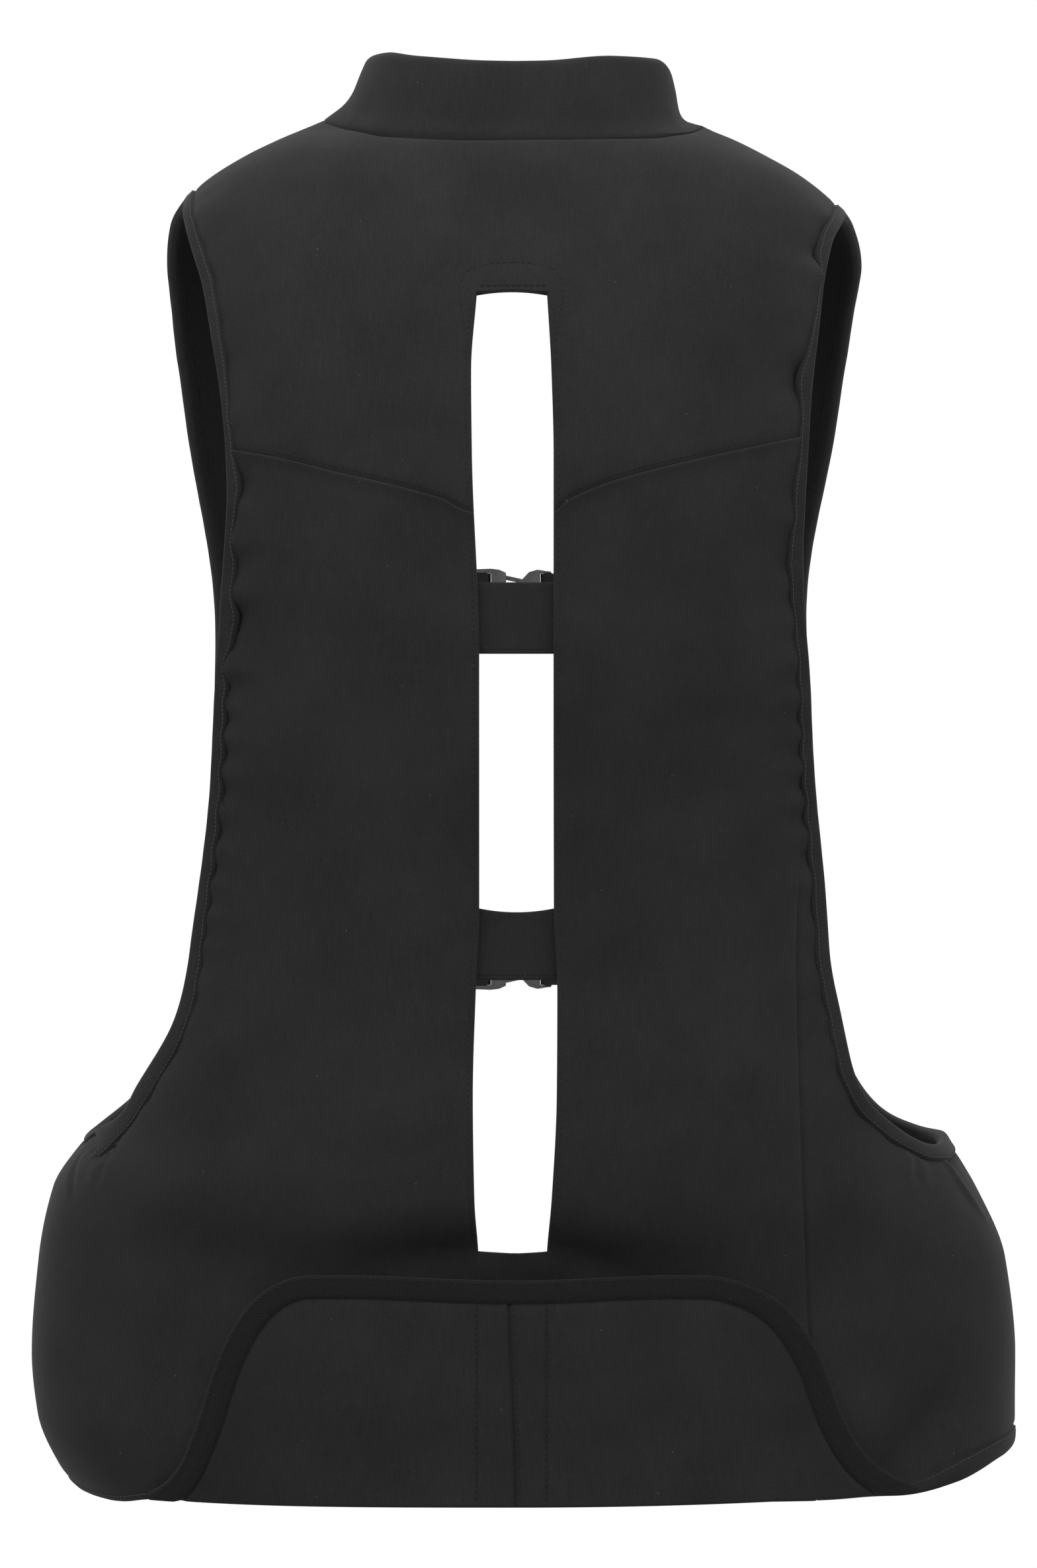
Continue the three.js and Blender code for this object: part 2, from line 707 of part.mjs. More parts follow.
// Padded stand collar: a rounded wall on the neck seam, flared where it starts.
function addCollar() {
  const count = 32;
  const endTurn = 161;
  const heights = [0, 0.06, 0.2, 0.6, 0.93];
  const sections = trace((t) => mix(-endTurn, endTurn, t), count).map((turn) => {
    const at = Math.abs(turn);
    const low = neckZ(turn) + 1.5 * SEAM_GAP;
    const high = sample(NECK, "turn", turn < 0 ? "topLeft" : "topRight", at);
    const flare = sample(NECK, "turn", "flare", at);
    const tilt = sample(NECK, "turn", turn < 0 ? "tiltLeft" : "tiltRight", at);
    const grip = mix(5, 16, THREE.MathUtils.smoothstep(turn, -40, 40));
    const foot = form(turn, neckZ(turn));
    const outward = new THREE.Vector3(foot.x, foot.y, 0).normalize();
    const point = (share, inset) => {
      const leant = flare * (1 - (1 - share) ** grip) + tilt * share ** 1.5;
      const out = foot.clone().addScaledVector(outward, -leant - inset);
      return out.setZ(mix(low, high, share));
    };
    const outer = heights.map((share) => point(share, 0));
    const crest = [point(1, COLLAR_THICKNESS * 0.3), point(1, COLLAR_THICKNESS * 0.7)];
    const inner = heights.map((share) => point(share, COLLAR_THICKNESS)).reverse();
    return [...outer, ...crest, ...inner];
  });
  add("collar", loft(sections, false), CLOTH);
}

const tailFloorZ = (x) => -642 + (x < 0 ? 2.5 * (x / 172) ** 2 : 5.4 * (x / 188) ** 2);

function tailLift(z) {
  const share = THREE.MathUtils.smoothstep(z, -640, -540);
  return mix(TAIL_LIFT_AT_HEM, TAIL_LIFT_AT_TOP, share);
}

// The bell's upper edge, or a line an inset inside it, in x and z.
function bellLine(inset, count = 32) {
  const curve = new THREE.CatmullRomCurve3(BELL.map(({ x, z }) => new THREE.Vector3(x, z, 0)));
  return trace((t) => {
    const at = curve.getPointAt(t);
    const ahead = curve.getTangentAt(t);
    const x = at.x + ahead.y * inset;
    const z = at.y - ahead.x * inset;
    return { x, z: Math.max(z, tailFloorZ(x)) };
  }, count);
}

function tailPoint({ x, z }, height) {
  return lifted(placeAt(x, z), tailLift(z) + height);
}

// Bell-shaped lower back piece that lies over the back panels.
function addTail() {
  const rows = 3;
  const edge = bellLine(TAPE_WIDTH + SEAM_GAP).filter(({ x, z }) => z > tailFloorZ(x) + 1);
  const [left, right] = [edge[0].x, edge[edge.length - 1].x];
  const places = Array.from({ length: rows + 1 }, (_, r) =>
    edge.map(({ x, z }, i) => {
      const v = r / rows;
      const footX = mix(mix(left, right, i / (edge.length - 1)), x, 0.6);
      return { x: mix(footX, x, v), z: mix(tailFloorZ(footX), z, v) };
    }),
  );
  const layer = (height) => places.map((row) => row.map((p) => tailPoint(p, height)));
  add("tail_panel", wall(layer(TAIL_THICKNESS), layer(0)), CLOTH);

  const lines = [bellLine(0), bellLine(TAPE_WIDTH * 0.5), bellLine(TAPE_WIDTH)];
  const sections = lines[0].slice(1, -1).map((_, i) => {
    const [free, middle, sewn] = lines.map((line) => line[i + 1]);
    return [
      tailPoint(free, TAIL_THICKNESS * 0.5),
      tailPoint(middle, TAIL_THICKNESS + 0.6),
      tailPoint(sewn, TAIL_THICKNESS + 0.3),
      tailPoint(sewn, 0),
      tailPoint(middle, -0.3),
    ];
  });
  add("tail_binding", loft(sections, false), TWILL);
}

// Fabric bar across the slot, tucked behind both slot edges.
function addBridge({ name, top, bottom, sag }) {
  const [rows, columns] = [3, 8];
  const places = Array.from({ length: rows + 1 }, (_, r) =>
    Array.from({ length: columns + 1 }, (__, c) => {
      const u = c / columns;
      const left = slotX(mix(bottom, top, r / rows), "left") - BRIDGE_TUCK;
      const right = slotX(mix(bottom, top, r / rows), "right") + BRIDGE_TUCK;
      const dip = sag * 4 * u * (1 - u) * (r / rows);
      return placeAt(mix(left, right, u), mix(bottom, top, r / rows) - dip);
    }),
  );
  add(name, panel(places, -PANEL_THICKNESS - 0.5, BRIDGE_THICKNESS), CLOTH);
}

// How far forward the middle plane of a front buckle lies.
function buckleY(z) {
  const edge = placeAt(FRONT_HALF_GAP + 1, z, "front");
  return form(edge.turn, edge.z).y - 1.45;
}

// Webbing: sewn on the front panel, then over the buckle's end bar, through its slot and back.
function addStrap(name, side, z, slot) {
  const sign = SIDES[side];
  const bar = side === "left" ? slot[0] : slot[1];
  const middle = buckleY(z);
  const hook = [
    [7.5, -2.55],
    [0.2, -2.55],
    [-0.6, -2.3],
    [-1, -1.4],
    [-1.45, 1.4],
    [-0.9, 2.3],
    [0.2, 2.55],
    [3.5, 2.55],
  ].map(([out, lift]) => ({ x: bar + sign * out, y: () => middle + lift }));
  const half = WEBBING_THICKNESS / 2;
  const onPanel = [1, 4, 12, 24, 36, WEBBING_ON_PANEL].map((out) => {
    const x = sign * (FRONT_HALF_GAP + out);
    const y = (height) => {
      const place = placeAt(x, height, "front");
      return form(place.turn, height).y + half + 0.45;
    };
    return { x, y };
  });
  const path = [...hook, ...onPanel];
  const layer = (offset) =>
    path.map((_, i) =>
      [-1, 0, 1].map((edge) => {
        const height = z + (edge * WEBBING_WIDTH) / 2;
        const at = (k) => {
          const p = path[THREE.MathUtils.clamp(k, 0, path.length - 1)];
          return new THREE.Vector2(p.x, p.y(height));
        };
        const ahead = at(i + 1).sub(at(i - 1)).normalize();
        const here = at(i);
        return new THREE.Vector3(here.x - ahead.y * offset, here.y + ahead.x * offset, height);
      }),
    );
  add(name, wall(layer(half), layer(-half)), WEBBING);
}

// An outline in length and width, pushed out to a thickness about the middle plane.
function slab(outline, thickness) {
  const shape = new THREE.Shape(outline.map(([along, half]) => new THREE.Vector2(along, half)));
  const geometry = new THREE.ExtrudeGeometry(shape, { depth: thickness, bevelEnabled: false });
  geometry.translate(0, 0, -thickness / 2);
  return solidFrom(geometry);
}

// A finished buckle half, stood up so that its length runs along X and its width along Z.
function buckleGeometry(solid, z) {
  const geometry = geometryFrom(solid);
  geometry.rotateX(Math.PI / 2);
  geometry.translate(0, buckleY(z), z);
  return geometry;
}

const mirrored = (rows) => [
  ...rows.map(({ along, half }) => [along, half]),
  ...[...rows].reverse().map(({ along, half }) => [along, -half]),
];
const box = (x0, x1, halfY, z0, z1) =>
  solids.Manifold.cube([x1 - x0, 2 * halfY, z1 - z0]).translate([x0, -halfY, z0]);

// Cuts a webbing slot and thins the end bar beyond it.
function withSlot(solid, [from, to], barEnd) {
  const { slotHalf, thickness, barThickness } = BUCKLE;
  const [low, high] = barEnd < from ? [barEnd - 1, from + 0.01] : [to - 0.01, barEnd + 1];
  const above = box(low, high, slotHalf, barThickness / 2, thickness);
  const below = box(low, high, slotHalf, -thickness, -barThickness / 2);
  return solid.subtract(box(from, to, slotHalf, -thickness, thickness)).subtract(above).subtract(below);
}

function socketSolid() {
  const body = slab(mirrored(SOCKET_EDGE), BUCKLE.thickness);
  const cavity = box(-10.5, 0, 7, -BUCKLE.cavity / 2, BUCKLE.cavity / 2);
  return withSlot(body.subtract(cavity), BUCKLE.socketSlot, -24);
}

function plugSolid() {
  const arm = PLUG_ARM.map(({ along, half }) => [along, half]);
  const twin = arm.map(([along, half]) => [along, -half]).reverse();
  const tongue = [[4, 2.2], [-9, 1.8], [-9, -1.8], [4, -2.2]];
  const plates = [arm, twin, tongue].map((outline) => slab(outline, BUCKLE.plate));
  const base = slab(mirrored(PLUG_EDGE), BUCKLE.thickness - 0.6);
  return withSlot(base.add(plates[0]).add(plates[1]).add(plates[2]), BUCKLE.plugSlot, 18);
}

addCollar();
addYoke();
for (const side of Object.keys(SIDES)) {
  addBackPanel(side);
  addHipWing(side);
  addFrontPanel(side);
  addArmBinding(side);
  addHemBinding(side);
}
addTail();
BRIDGES.forEach(addBridge);
for (const { name, z } of FASTENINGS) {
  addStrap(`strap_${name}_left`, "left", z, BUCKLE.socketSlot);
  addStrap(`strap_${name}_right`, "right", z, BUCKLE.plugSlot);
  add(`buckle_${name}_socket`, buckleGeometry(socketSolid(), z), PLASTIC);
  add(`buckle_${name}_plug`, buckleGeometry(plugSolid(), z), PLASTIC);
}

export default vest;
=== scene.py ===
import math

import bmesh
import bpy
import numpy as np
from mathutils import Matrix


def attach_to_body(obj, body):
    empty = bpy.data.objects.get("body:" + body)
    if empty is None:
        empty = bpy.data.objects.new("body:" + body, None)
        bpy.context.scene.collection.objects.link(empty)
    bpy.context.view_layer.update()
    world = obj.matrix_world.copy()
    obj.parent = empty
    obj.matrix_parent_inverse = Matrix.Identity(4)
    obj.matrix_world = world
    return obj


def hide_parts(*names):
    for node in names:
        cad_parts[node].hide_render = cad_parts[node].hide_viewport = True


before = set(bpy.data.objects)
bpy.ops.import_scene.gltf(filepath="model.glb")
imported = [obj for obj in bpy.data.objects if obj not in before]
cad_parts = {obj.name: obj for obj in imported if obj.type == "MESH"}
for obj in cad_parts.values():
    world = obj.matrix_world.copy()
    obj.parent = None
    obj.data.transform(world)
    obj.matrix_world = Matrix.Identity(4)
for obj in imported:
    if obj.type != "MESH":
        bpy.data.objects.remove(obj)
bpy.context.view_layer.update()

bl_info = {
    "name": "Airbag Vest",
    "version": (1, 0, 0),
    "blender": (4, 5, 0),
    "location": "View3D > Sidebar > Vest",
    "description": "Cloth, bindings, stitching and buckles of an airbag vest on its packed frame",
    "category": "Add Mesh",
}

# Lengths in the tables are millimetres, as on the pattern; meshes are made in metres.
# A place on the vest is a turn in degrees (0 mid back, 90 right side, -90 left side, 180 mid front)
# and a height. The torso form gives the outer face of the cloth there.
MM = 0.001
SIDES = {"left": -1, "right": 1}
SECTION_POWER = 2.4
TURN_STRETCH = 2.6
SHARP_ANGLE = math.radians(55)
ROLL_STEPS = np.array([0.35, 0.9, 1.8])
SHOULDER_TURN = 84
FRONT_HALF_GAP = 30
UNDER_BINDING = 3.0

# Heights: the wings' upper corners and seam ends, the yoke seam at the slot, and the lower ends of seams.
WING_CORNER_Z = -305
WING_SEAM_TOP_Z = -317
YOKE_AT_SLOT_Z = -177
BACK_FOOT_Z = -640
HEM_BACK_Z = -636
WING_FOOT_Z = -632
FRONT_FOOT_Z = -625


def table(names, rows):
    """Columns of numbers by name."""
    return {name: np.array(column, float) for name, column in zip(names.split(), zip(*rows))}


# Half widths and depths of the torso form at each height.
TORSO = table("z left right back front", [
    (22, 68, 62, 20, 16),
    (14, 90, 83, 32, 26),
    (8, 104, 95, 47, 36),
    (3.5, 114, 105, 64, 42),
    (-4, 129, 119, 78, 50),
    (-14, 145, 136, 86, 60),
    (-24, 157, 149, 91, 71),
    (-36, 167, 162, 96, 83),
    (-60, 176, 176, 105, 101),
    (-100, 184, 184, 114, 113),
    (-160, 186, 186, 120, 119),
    (-240, 178, 178, 117, 117),
    (-320, 172, 172, 110, 112),
    (-380, 176, 176, 107, 110),
    (-430, 191, 190, 109, 112),
    (-466, 202, 203, 111, 114),
    (-496, 221, 220, 111, 117),
    (-530, 228, 234, 106, 119),
    (-574, 231, 239, 110, 120),
    (-604, 228, 239, 115, 120),
    (-628, 218, 238, 118, 119),
    (-645, 204, 236, 119, 118),
])

# Round the neck: height of the collar seam and of the collar's top edge, how far the collar's foot
# flares out, and how far its sides tilt in above that.
NECK = table("turn left right top_left top_right flare tilt_left tilt_right", [
    (0, 1.8, 1.8, 38, 38, 2.5, 4.5, 4.5),
    (14, 1.8, 1.8, 38.3, 38.3, 2.5, 4.5, 4.5),
    (43, 3.5, 3, 41, 41, 4, 5, 4),
    (65, 7.8, 6, 44, 41, 7, 7, 3.5),
    (90, 13.5, 11, 44, 32, 11, 9, 3),
    (110, 8, 6, 37, 28, 9, 8, 4),
    (135, -22, -22, 12, 11, 5, 7, 6),
    (152, -43, -43, -8, -8, 3, 6, 6),
    (180, -54, -54, -17, -17, 2.5, 5.5, 5.5),
])

# Height of the lower edge round the body.
HEM = table("turn left right", [
    (0, -640, -640),
    (50, -641, -640),
    (65, -641.5, -639.6),
    (72, -643.6, -633.8),
    (80, -641.5, -624),
    (90, -637, -618.5),
    (120, -628, -622),
    (180, -625, -625),
])

# Width of the hem's binding round the body: narrow on the left, and spread where the right hip turns.
HEM_WIDTH = table("turn left right", [
    (50, 4.0, 5.5),
    (66, 4.0, 6.0),
    (74, 4.0, 10.5),
    (80, 4.0, 9.5),
    (90, 4.2, 8.5),
    (120, 5.5, 6.0),
])

# Edge of each side opening, from the shoulder tip down the back and up the front.
ARM_EDGE = {
    "left": table("front x z", [
        (0, 165, -27), (0, 158.5, -31), (0, 149.5, -64), (0, 140, -115), (0, 136, -165), (0, 140, -227),
        (0, 144.3, -300), (0, 153.5, -375), (0, 163.5, -419), (0, 180.5, -447), (0, 188.5, -460),
        (0, 215, -470), (1, 193, -460.5), (1, 181, -448.5), (1, 160, -406), (1, 147, -300), (1, 148, -205),
        (1, 159, -139), (1, 167, -72),
    ]),
    "right": table("front x z", [
        (0, 170, -33), (0, 153, -42.5), (0, 147, -62), (0, 140, -120), (0, 136, -190), (0, 140, -268),
        (0, 146.5, -349), (0, 152, -402), (0, 164.5, -449), (0, 180, -465), (0, 196, -474), (0, 215, -470),
        (1, 194, -468), (1, 178, -460.5), (1, 163, -440), (1, 152, -395), (1, 145, -300), (1, 143, -205),
        (1, 155, -139), (1, 165, -72),
    ]),
}

# Width of each opening's binding down the back, and places where it is drawn in or spreads.
BINDING_WIDTH = {
    "left": table("z width", [
        (-27, 7.0), (-60, 7.0), (-110, 6.0), (-133, 4.7), (-155, 5.9), (-166, 7.5), (-174, 6.2),
        (-188, 5.5), (-200, 7.7), (-211, 7.6), (-225, 10.0), (-236, 9.6), (-246, 6.4), (-256, 7.9),
        (-300, 8.0), (-340, 8.5), (-420, 11.0), (-447, 13.0),
    ]),
    "right": table("z width", [
        (-30, 6.5), (-55, 7.0), (-66, 3.6), (-85, 4.2), (-104, 6.2), (-117, 8.2), (-126, 6.8), (-135, 5.8),
        (-154, 6.0), (-166, 7.2), (-178, 6.8), (-197, 8.5), (-240, 7.6), (-340, 8.6), (-470, 9.2),
    ]),
}
BINDING_LOCAL = table("x z reach more", [
    (-193.5, -463.8, 6, 8.5),
    (-199, -467.5, 10, -8.0),
    (-204, -470, 20, -8.0),
])

# Edges of the spine slot, and the outline of the facing stitched round its top.
SLOT_TOP = -74
SLOT_BOTTOM = -525
SLOT = table("z left right", [
    (-74, -18.2, 15), (-110, -20.8, 17), (-150, -20.4, 18), (-243, -17, 18), (-363, -17, 18.2),
    (-400, -18.6, 19.8), (-450, -20, 19.5), (-500, -19.2, 17), (-525, -17.6, 15),
])
FACING = table("x z", [
    (-22.5, -98), (-24.5, -86), (-26, -73), (-23.5, -64.5), (-15, -61), (-2, -59.6), (11, -60.6),
    (19.5, -64), (22.6, -73), (20.8, -86), (19, -98),
])

# The seam under the yoke, and the seam between a back panel and its hip wing.
YOKE_SEAM = table("x z", [
    (-145, -145), (-112, -151), (-84, -158), (-58, -164), (-36, -170), (-19, -177), (17, -177), (25, -171),
    (47, -162), (81, -153), (116, -145), (145, -138.5),
])
WING_SEAM = table("z x", [
    (-290, 138), (-340, 134.5), (-389, 132.8), (-470, 134.5), (-553, 138.5), (-645, 142),
])

# Upper edge of the bell-shaped tail panel, from the left foot to the right foot.
BELL = table("x z", [
    (-173, -637), (-164, -632), (-157, -625), (-148, -606), (-135, -571), (-121, -548), (-104, -536),
    (-82, -534), (0, -536.5), (75, -534), (98, -536), (122, -548), (139, -571), (151, -600), (162, -618),
    (176, -629), (190, -635),
])

BRIDGES = {
    "bridge_upper": {"top": -210, "bottom": -243.5, "sag": 0.0},
    "bridge_lower": {"top": -360.4, "bottom": -395.7, "sag": 4.0},
}
FASTENINGS = {"upper": -208.5, "lower": -394.7}
STRAP_BAR = {"left": -14.2, "right": 14.5}
STRAP_HOOK = table("out lift", [
    (7.5, -2.55), (0.2, -2.55), (-0.6, -2.3), (-1, -1.4), (-1.45, 1.4), (-0.9, 2.3), (0.2, 2.55),
    (3.5, 2.55),
])
STRAP_ON_PANEL = np.array([1, 4, 12, 24, 36, 48], float)

# Soft folds on the back and hips: middle, lie of the fold, reach along and across it, and height.
FOLDS = table("x z lie along across height", [
    (126, -470, 90, 75, 7, 1.6),
    (146, -520, 80, 60, 9, -2.6),
    (0, -546, 0, 98, 31, -13.0),
    (33, -527, -18, 26, 7, -3.4),
    (52, -513, -20, 30, 9, 1.4),
    (-34, -525, 8, 34, 8, -3.4),
    (-60, -509, 10, 36, 10, 1.2),
    (182, -625, 54, 46, 17, -14.0),
    (214, -606, 56, 36, 10, 2.0),
    (-168, -598, 100, 36, 14, -4.0),
    (-110, -250, 84, 60, 22, 0.9),
    (108, -255, 96, 60, 22, 0.9),
    (-64, -330, 90, 130, 26, -0.7),
    (70, -350, 92, 130, 26, -0.7),
    (-150, -35, 30, 26, 8, 0.8),
    (-120, -16, 28, 30, 9, -0.7),
])

# Creases at the hips: points along each one, how deep its groove is, and how far the cloth beyond it drops.
CREASES = [
    {"groove": -1.5, "step": 0.5, "path": [(199, -473), (203, -481), (207, -487), (215, -499), (227, -516)]},
    {"groove": 1.2, "step": 0.0, "path": [(190.5, -480), (190, -486), (189.5, -494)]},
    {"groove": 0.7, "step": 0.0, "path": [(-196, -483), (-196.5, -488), (-197, -495)]},
    {"groove": 0.8, "step": 0.0, "path": [(-208, -481), (-210, -490), (-209, -502)]},
]

# Rolled bindings: plain and least width, how far they stand over the cloth, the panel inside, and their girth.
BINDING = {"width": 8.5, "least": 3.4, "proud": 0.8, "panel": 5.0, "girth": 24.0}
HIP_PROUD = {"left": 0.2, "right": 0.8}
HEM_PROUD = {"left": 0.3, "right": 0.7}
HEM_GROOVE = {"left": 0.2, "right": 0.9}
# Painted light: above this height the bindings' under sides, in shade inside the openings, take the lining's
# lighter colour.
PAINTED_UNDER_ABOVE_Z = -440

# The collar: turn of its front ends, how far its foot goes below the seam, and the radius of the foot's roll.
COLLAR = {"end_turn": 161, "below": 4.6, "roll": 2.4}

# How far stitch rows lie from the slot's edge and the yoke seam, and the x of the tail's two rows.
SLOT_ROW = 2.4
YOKE_ROW = 2.6
TAIL_ROWS = {"left": -18.0, "right": 14.5}

# Grooves and ridges along lines: height, distance of the middle from the line, and width.
RELIEF = {
    "slot_row": (-0.3, SLOT_ROW, 0.8),
    "facing_row": (-0.3, 0, 0.9),
    "under_panel_edge": (-0.8, 0, 1.8),
    "yoke_row": (-0.3, YOKE_ROW, 0.7),
    "panel_edge": (1.3, 0, 2.8),
    "wing_ridge": (0.4, -4, 3),
    "wing_seam": (-1, 0, 1.1),
    "neck_seam": (-1.6, 0, 0.9),
    "neck_hollow": (-2.2, 1, 2.4),
    "back_seam": (-0.8, 0, 1.2),
    "crease_line": (-1, 0, 2.6),
    "crease_lip": (0.5, 4.5, 3),
    "collar_puff": (0.7, 2.6, 3),
    "tail_seam": (-1.4, 0, 0.9),
    "tail_ridge": (0.5, -2, 1.6),
    "tail_row_left": (-0.25, TAIL_ROWS["left"], 0.8),
    "tail_row_right": (-0.25, TAIL_ROWS["right"], 0.8),
    "tape_edge": (-0.9, 0, 1.1),
    "bar_row": (-0.2, 2.6, 0.8),
}

# The studio, in metres: the floor, where the lamps stand and aim, and the level camera behind the neck.
FLOOR = {"z": -1.35, "inner": 0.05, "outer": 8.0}
LAMPS = {
    "key": {"spot": (-0.1, -0.75, 0.5), "power": 5.5, "size": 0.7},
    "fill": {"spot": (1.4, -1.5, 0.7), "power": 2.5, "size": 0.8},
}
LAMP_AIM = (0, 0, -0.25)
CAMERA = {"spot": (0.0015, -5.0, -0.304), "to_back": 4.89, "view_height": 0.7337, "sensor": 24}


def sample(rows, by, key, at):
    """A column's value between rows: a cubic whose slopes are harmonic means, so it never overshoots."""
    order = np.argsort(rows[by])
    x, y = rows[by][order], rows[key][order]
    secant = np.diff(y) / np.diff(x)
    before, after = secant[:-1], secant[1:]
    agree = before * after > 0
    inner = np.where(agree, 2 * before * after / np.where(agree, before + after, 1), 0)
    slope = np.concatenate([secant[:1], inner, secant[-1:]])
    at = np.asarray(at, float)
    i = np.clip(np.searchsorted(x, at) - 1, 0, len(x) - 2)
    span = x[i + 1] - x[i]
    t = np.clip((at - x[i]) / span, 0, 1)
    start = (1 + 2 * t) * (1 - t) ** 2 * y[i] + t * (1 - t) ** 2 * span * slope[i]
    return start + t * t * (3 - 2 * t) * y[i + 1] - t * t * (1 - t) * span * slope[i + 1]


def by_side(rows, by, at, turn, left="left", right="right"):
    """A column that differs on the left and the right."""
    return np.where(turn < 0, sample(rows, by, left, at), sample(rows, by, right, at))


def round_body(rows, left="left", right="right"):
    """A function of the turn, from a table with a column for each side."""
    return lambda turn: by_side(rows, "turn", np.abs(turn), np.asarray(turn), left, right)


neck_z = round_body(NECK)
collar_top_z = round_body(NECK, "top_left", "top_right")
collar_tilt = round_body(NECK, "tilt_left", "tilt_right")
hem_z = round_body(HEM)
hem_width = round_body(HEM_WIDTH)


def slot_x(z, side):
    """The slot's edge on one side."""
    return sample(SLOT, "z", side, z)


def yoke_seam_z(x):
    return sample(YOKE_SEAM, "x", "z", x)


def wing_seam_x(z):
    """Distance of a hip wing's seams from the middle."""
    return sample(WING_SEAM, "z", "x", z)


def pair(first, second):
    """Two values side by side, as turn and z or as x and z."""
    return np.stack(np.broadcast_arrays(first, second), -1)


def unit(vectors):
    return vectors / np.maximum(np.linalg.norm(vectors, axis=-1, keepdims=True), 1e-9)


def form(places):
    """Outer face of the torso: x = r sin(turn), y = -r cos(turn), with r on a rounded oval at each height."""
    turn, z = places[..., 0], places[..., 1]
    angle = np.radians(turn)
    width = by_side(TORSO, "z", z, turn)
    depth = np.where(np.cos(angle) > 0, sample(TORSO, "z", "back", z), sample(TORSO, "z", "front", z))
    sideways, endways = np.abs(np.sin(angle)) / width, np.abs(np.cos(angle)) / depth
    radius = (sideways**SECTION_POWER + endways**SECTION_POWER) ** (-1 / SECTION_POWER)
    return np.stack([radius * np.sin(angle), -radius * np.cos(angle), z], -1)


def form_slopes(places, step=0.25):
    """Slopes of the form by turn and by height, from small steps either way."""
    by_turn = (form(places + [step, 0]) - form(places - [step, 0])) / (2 * step)
    by_z = (form(places + [0, step]) - form(places - [0, step])) / (2 * step)
    return by_turn, by_z


def form_normal(places):
    return unit(np.cross(*form_slopes(places)))


def lifted(places, lift):
    """Points a height off the form, along its normal."""
    return form(places) + form_normal(places) * np.asarray(lift, float)[..., None]


def place_at(x, z, front=False):
    """The place with a given x on the back or front of the form."""
    x, z = np.broadcast_arrays(np.asarray(x, float), np.asarray(z, float))
    width = by_side(TORSO, "z", z, x)
    depth = np.where(front, sample(TORSO, "z", "front", z), sample(TORSO, "z", "back", z))
    behind = depth * (1 - np.minimum(np.abs(x) / width, 1) ** SECTION_POWER) ** (1 / SECTION_POWER)
    return pair(np.degrees(np.arctan2(x, np.where(front, -behind, behind))), z)


def laid(flat):
    """Places on the back of flat points, given as x and z."""
    return place_at(flat[..., 0], flat[..., 1])


def moved(places, steps):
    """Places moved by steps in space, laid on the form by its own two slopes."""
    by_turn, by_z = form_slopes(places)
    tt, tz, zz = (by_turn**2).sum(-1), (by_turn * by_z).sum(-1), (by_z**2).sum(-1)
    dt, dz = (by_turn * steps).sum(-1), (by_z * steps).sum(-1)
    return places + pair(dt * zz - dz * tz, dz * tt - dt * tz) / (tt * zz - tz * tz)[..., None]


def run_of(points):
    """Length along a line of points, from its start."""
    return np.concatenate([[0], np.cumsum(np.linalg.norm(np.diff(points, axis=0), axis=1))])


def at_runs(points, run, at):
    """Points of a line at given lengths along it."""
    return np.stack([np.interp(at, run, column) for column in points.T], -1)


def evenly(points, count):
    """Points spread evenly by length along a line."""
    run = run_of(points)
    return at_runs(points, run, np.linspace(0, run[-1], count + 1))


def spaced(points, pitch):
    """Points a stitch pitch apart along a line, kept half a pitch from its ends."""
    run = run_of(points)
    return at_runs(points, run, np.arange(pitch / 2, run[-1], pitch))


def along(path, shares):
    """Places on a path at shares of its length on the form."""
    run = run_of(form(path))
    return at_runs(path, run, np.asarray(shares) * run[-1])


def straight(start, end):
    return np.linspace(start, end, 33)


def smooth_line(points, count, closed=False):
    """A centripetal cubic through points, spread evenly by length."""
    if closed:
        ends = np.vstack([points[-1:], points, points[:2]])
    else:
        ends = np.vstack([2 * points[0] - points[1], points, 2 * points[-1] - points[-2]])
    p0, p1, p2, p3 = ends[:-3], ends[1:-2], ends[2:-1], ends[3:]
    d0, d1, d2 = (np.linalg.norm(b - a, axis=1)[:, None] ** 0.5 for a, b in ((p0, p1), (p1, p2), (p2, p3)))
    leave = ((p1 - p0) / d0 - (p2 - p0) / (d0 + d1) + (p2 - p1) / d1) * d1
    meet = ((p2 - p1) / d1 - (p3 - p1) / (d1 + d2) + (p3 - p2) / d2) * d1
    p1, p2, leave, meet = (a[:, None] for a in (p1, p2, leave, meet))
    t = np.linspace(0, 1, 40, endpoint=False)[None, :, None]
    cubed = 2 * p1 - 2 * p2 + leave + meet
    squared = 3 * p2 - 3 * p1 - 2 * leave - meet
    cubic = cubed * t**3 + squared * t**2 + leave * t + p1
    dense = np.vstack([cubic.reshape(-1, points.shape[1]), points[:1] if closed else points[-1:]])
    line = evenly(dense, count)
    return line[:-1] if closed else line


def coons(bottom, top, start, end, u, v):
    """A patch with four given edges: the two ruled fills added, less the fill of the corners."""
    low, high = along(bottom, u)[None], along(top, u)[None]
    first, last = along(start, v)[:, None], along(end, v)[:, None]
    u, v = u[None, :, None], v[:, None, None]
    corners = (1 - v) * ((1 - u) * bottom[0] + u * bottom[-1]) + v * ((1 - u) * top[0] + u * top[-1])
    return low * (1 - v) + high * v + first * (1 - u) + last * u - corners


def edged(count, length):
    """Shares from 0 to 1, with extra ones close to both ends so that a rolled edge is round."""
    near = ROLL_STEPS / length
    middle = np.linspace(near[-1], 1 - near[-1], count)
    return np.concatenate([[0], near[:-1], middle, 1 - near[-2::-1], [1]])


def bump(distance, width):
    """A soft ridge: exp(-(d/w)^2)."""
    return np.exp(-((distance / width) ** 2))


def relief(name, distance):
    """Height of a named groove or ridge at a distance from its line."""
    height, middle, width = RELIEF[name]
    return height * bump(distance - middle, width)


def smoothstep(low, high, value):
    t = np.clip((value - low) / (high - low), 0, 1)
    return t * t * (3 - 2 * t)


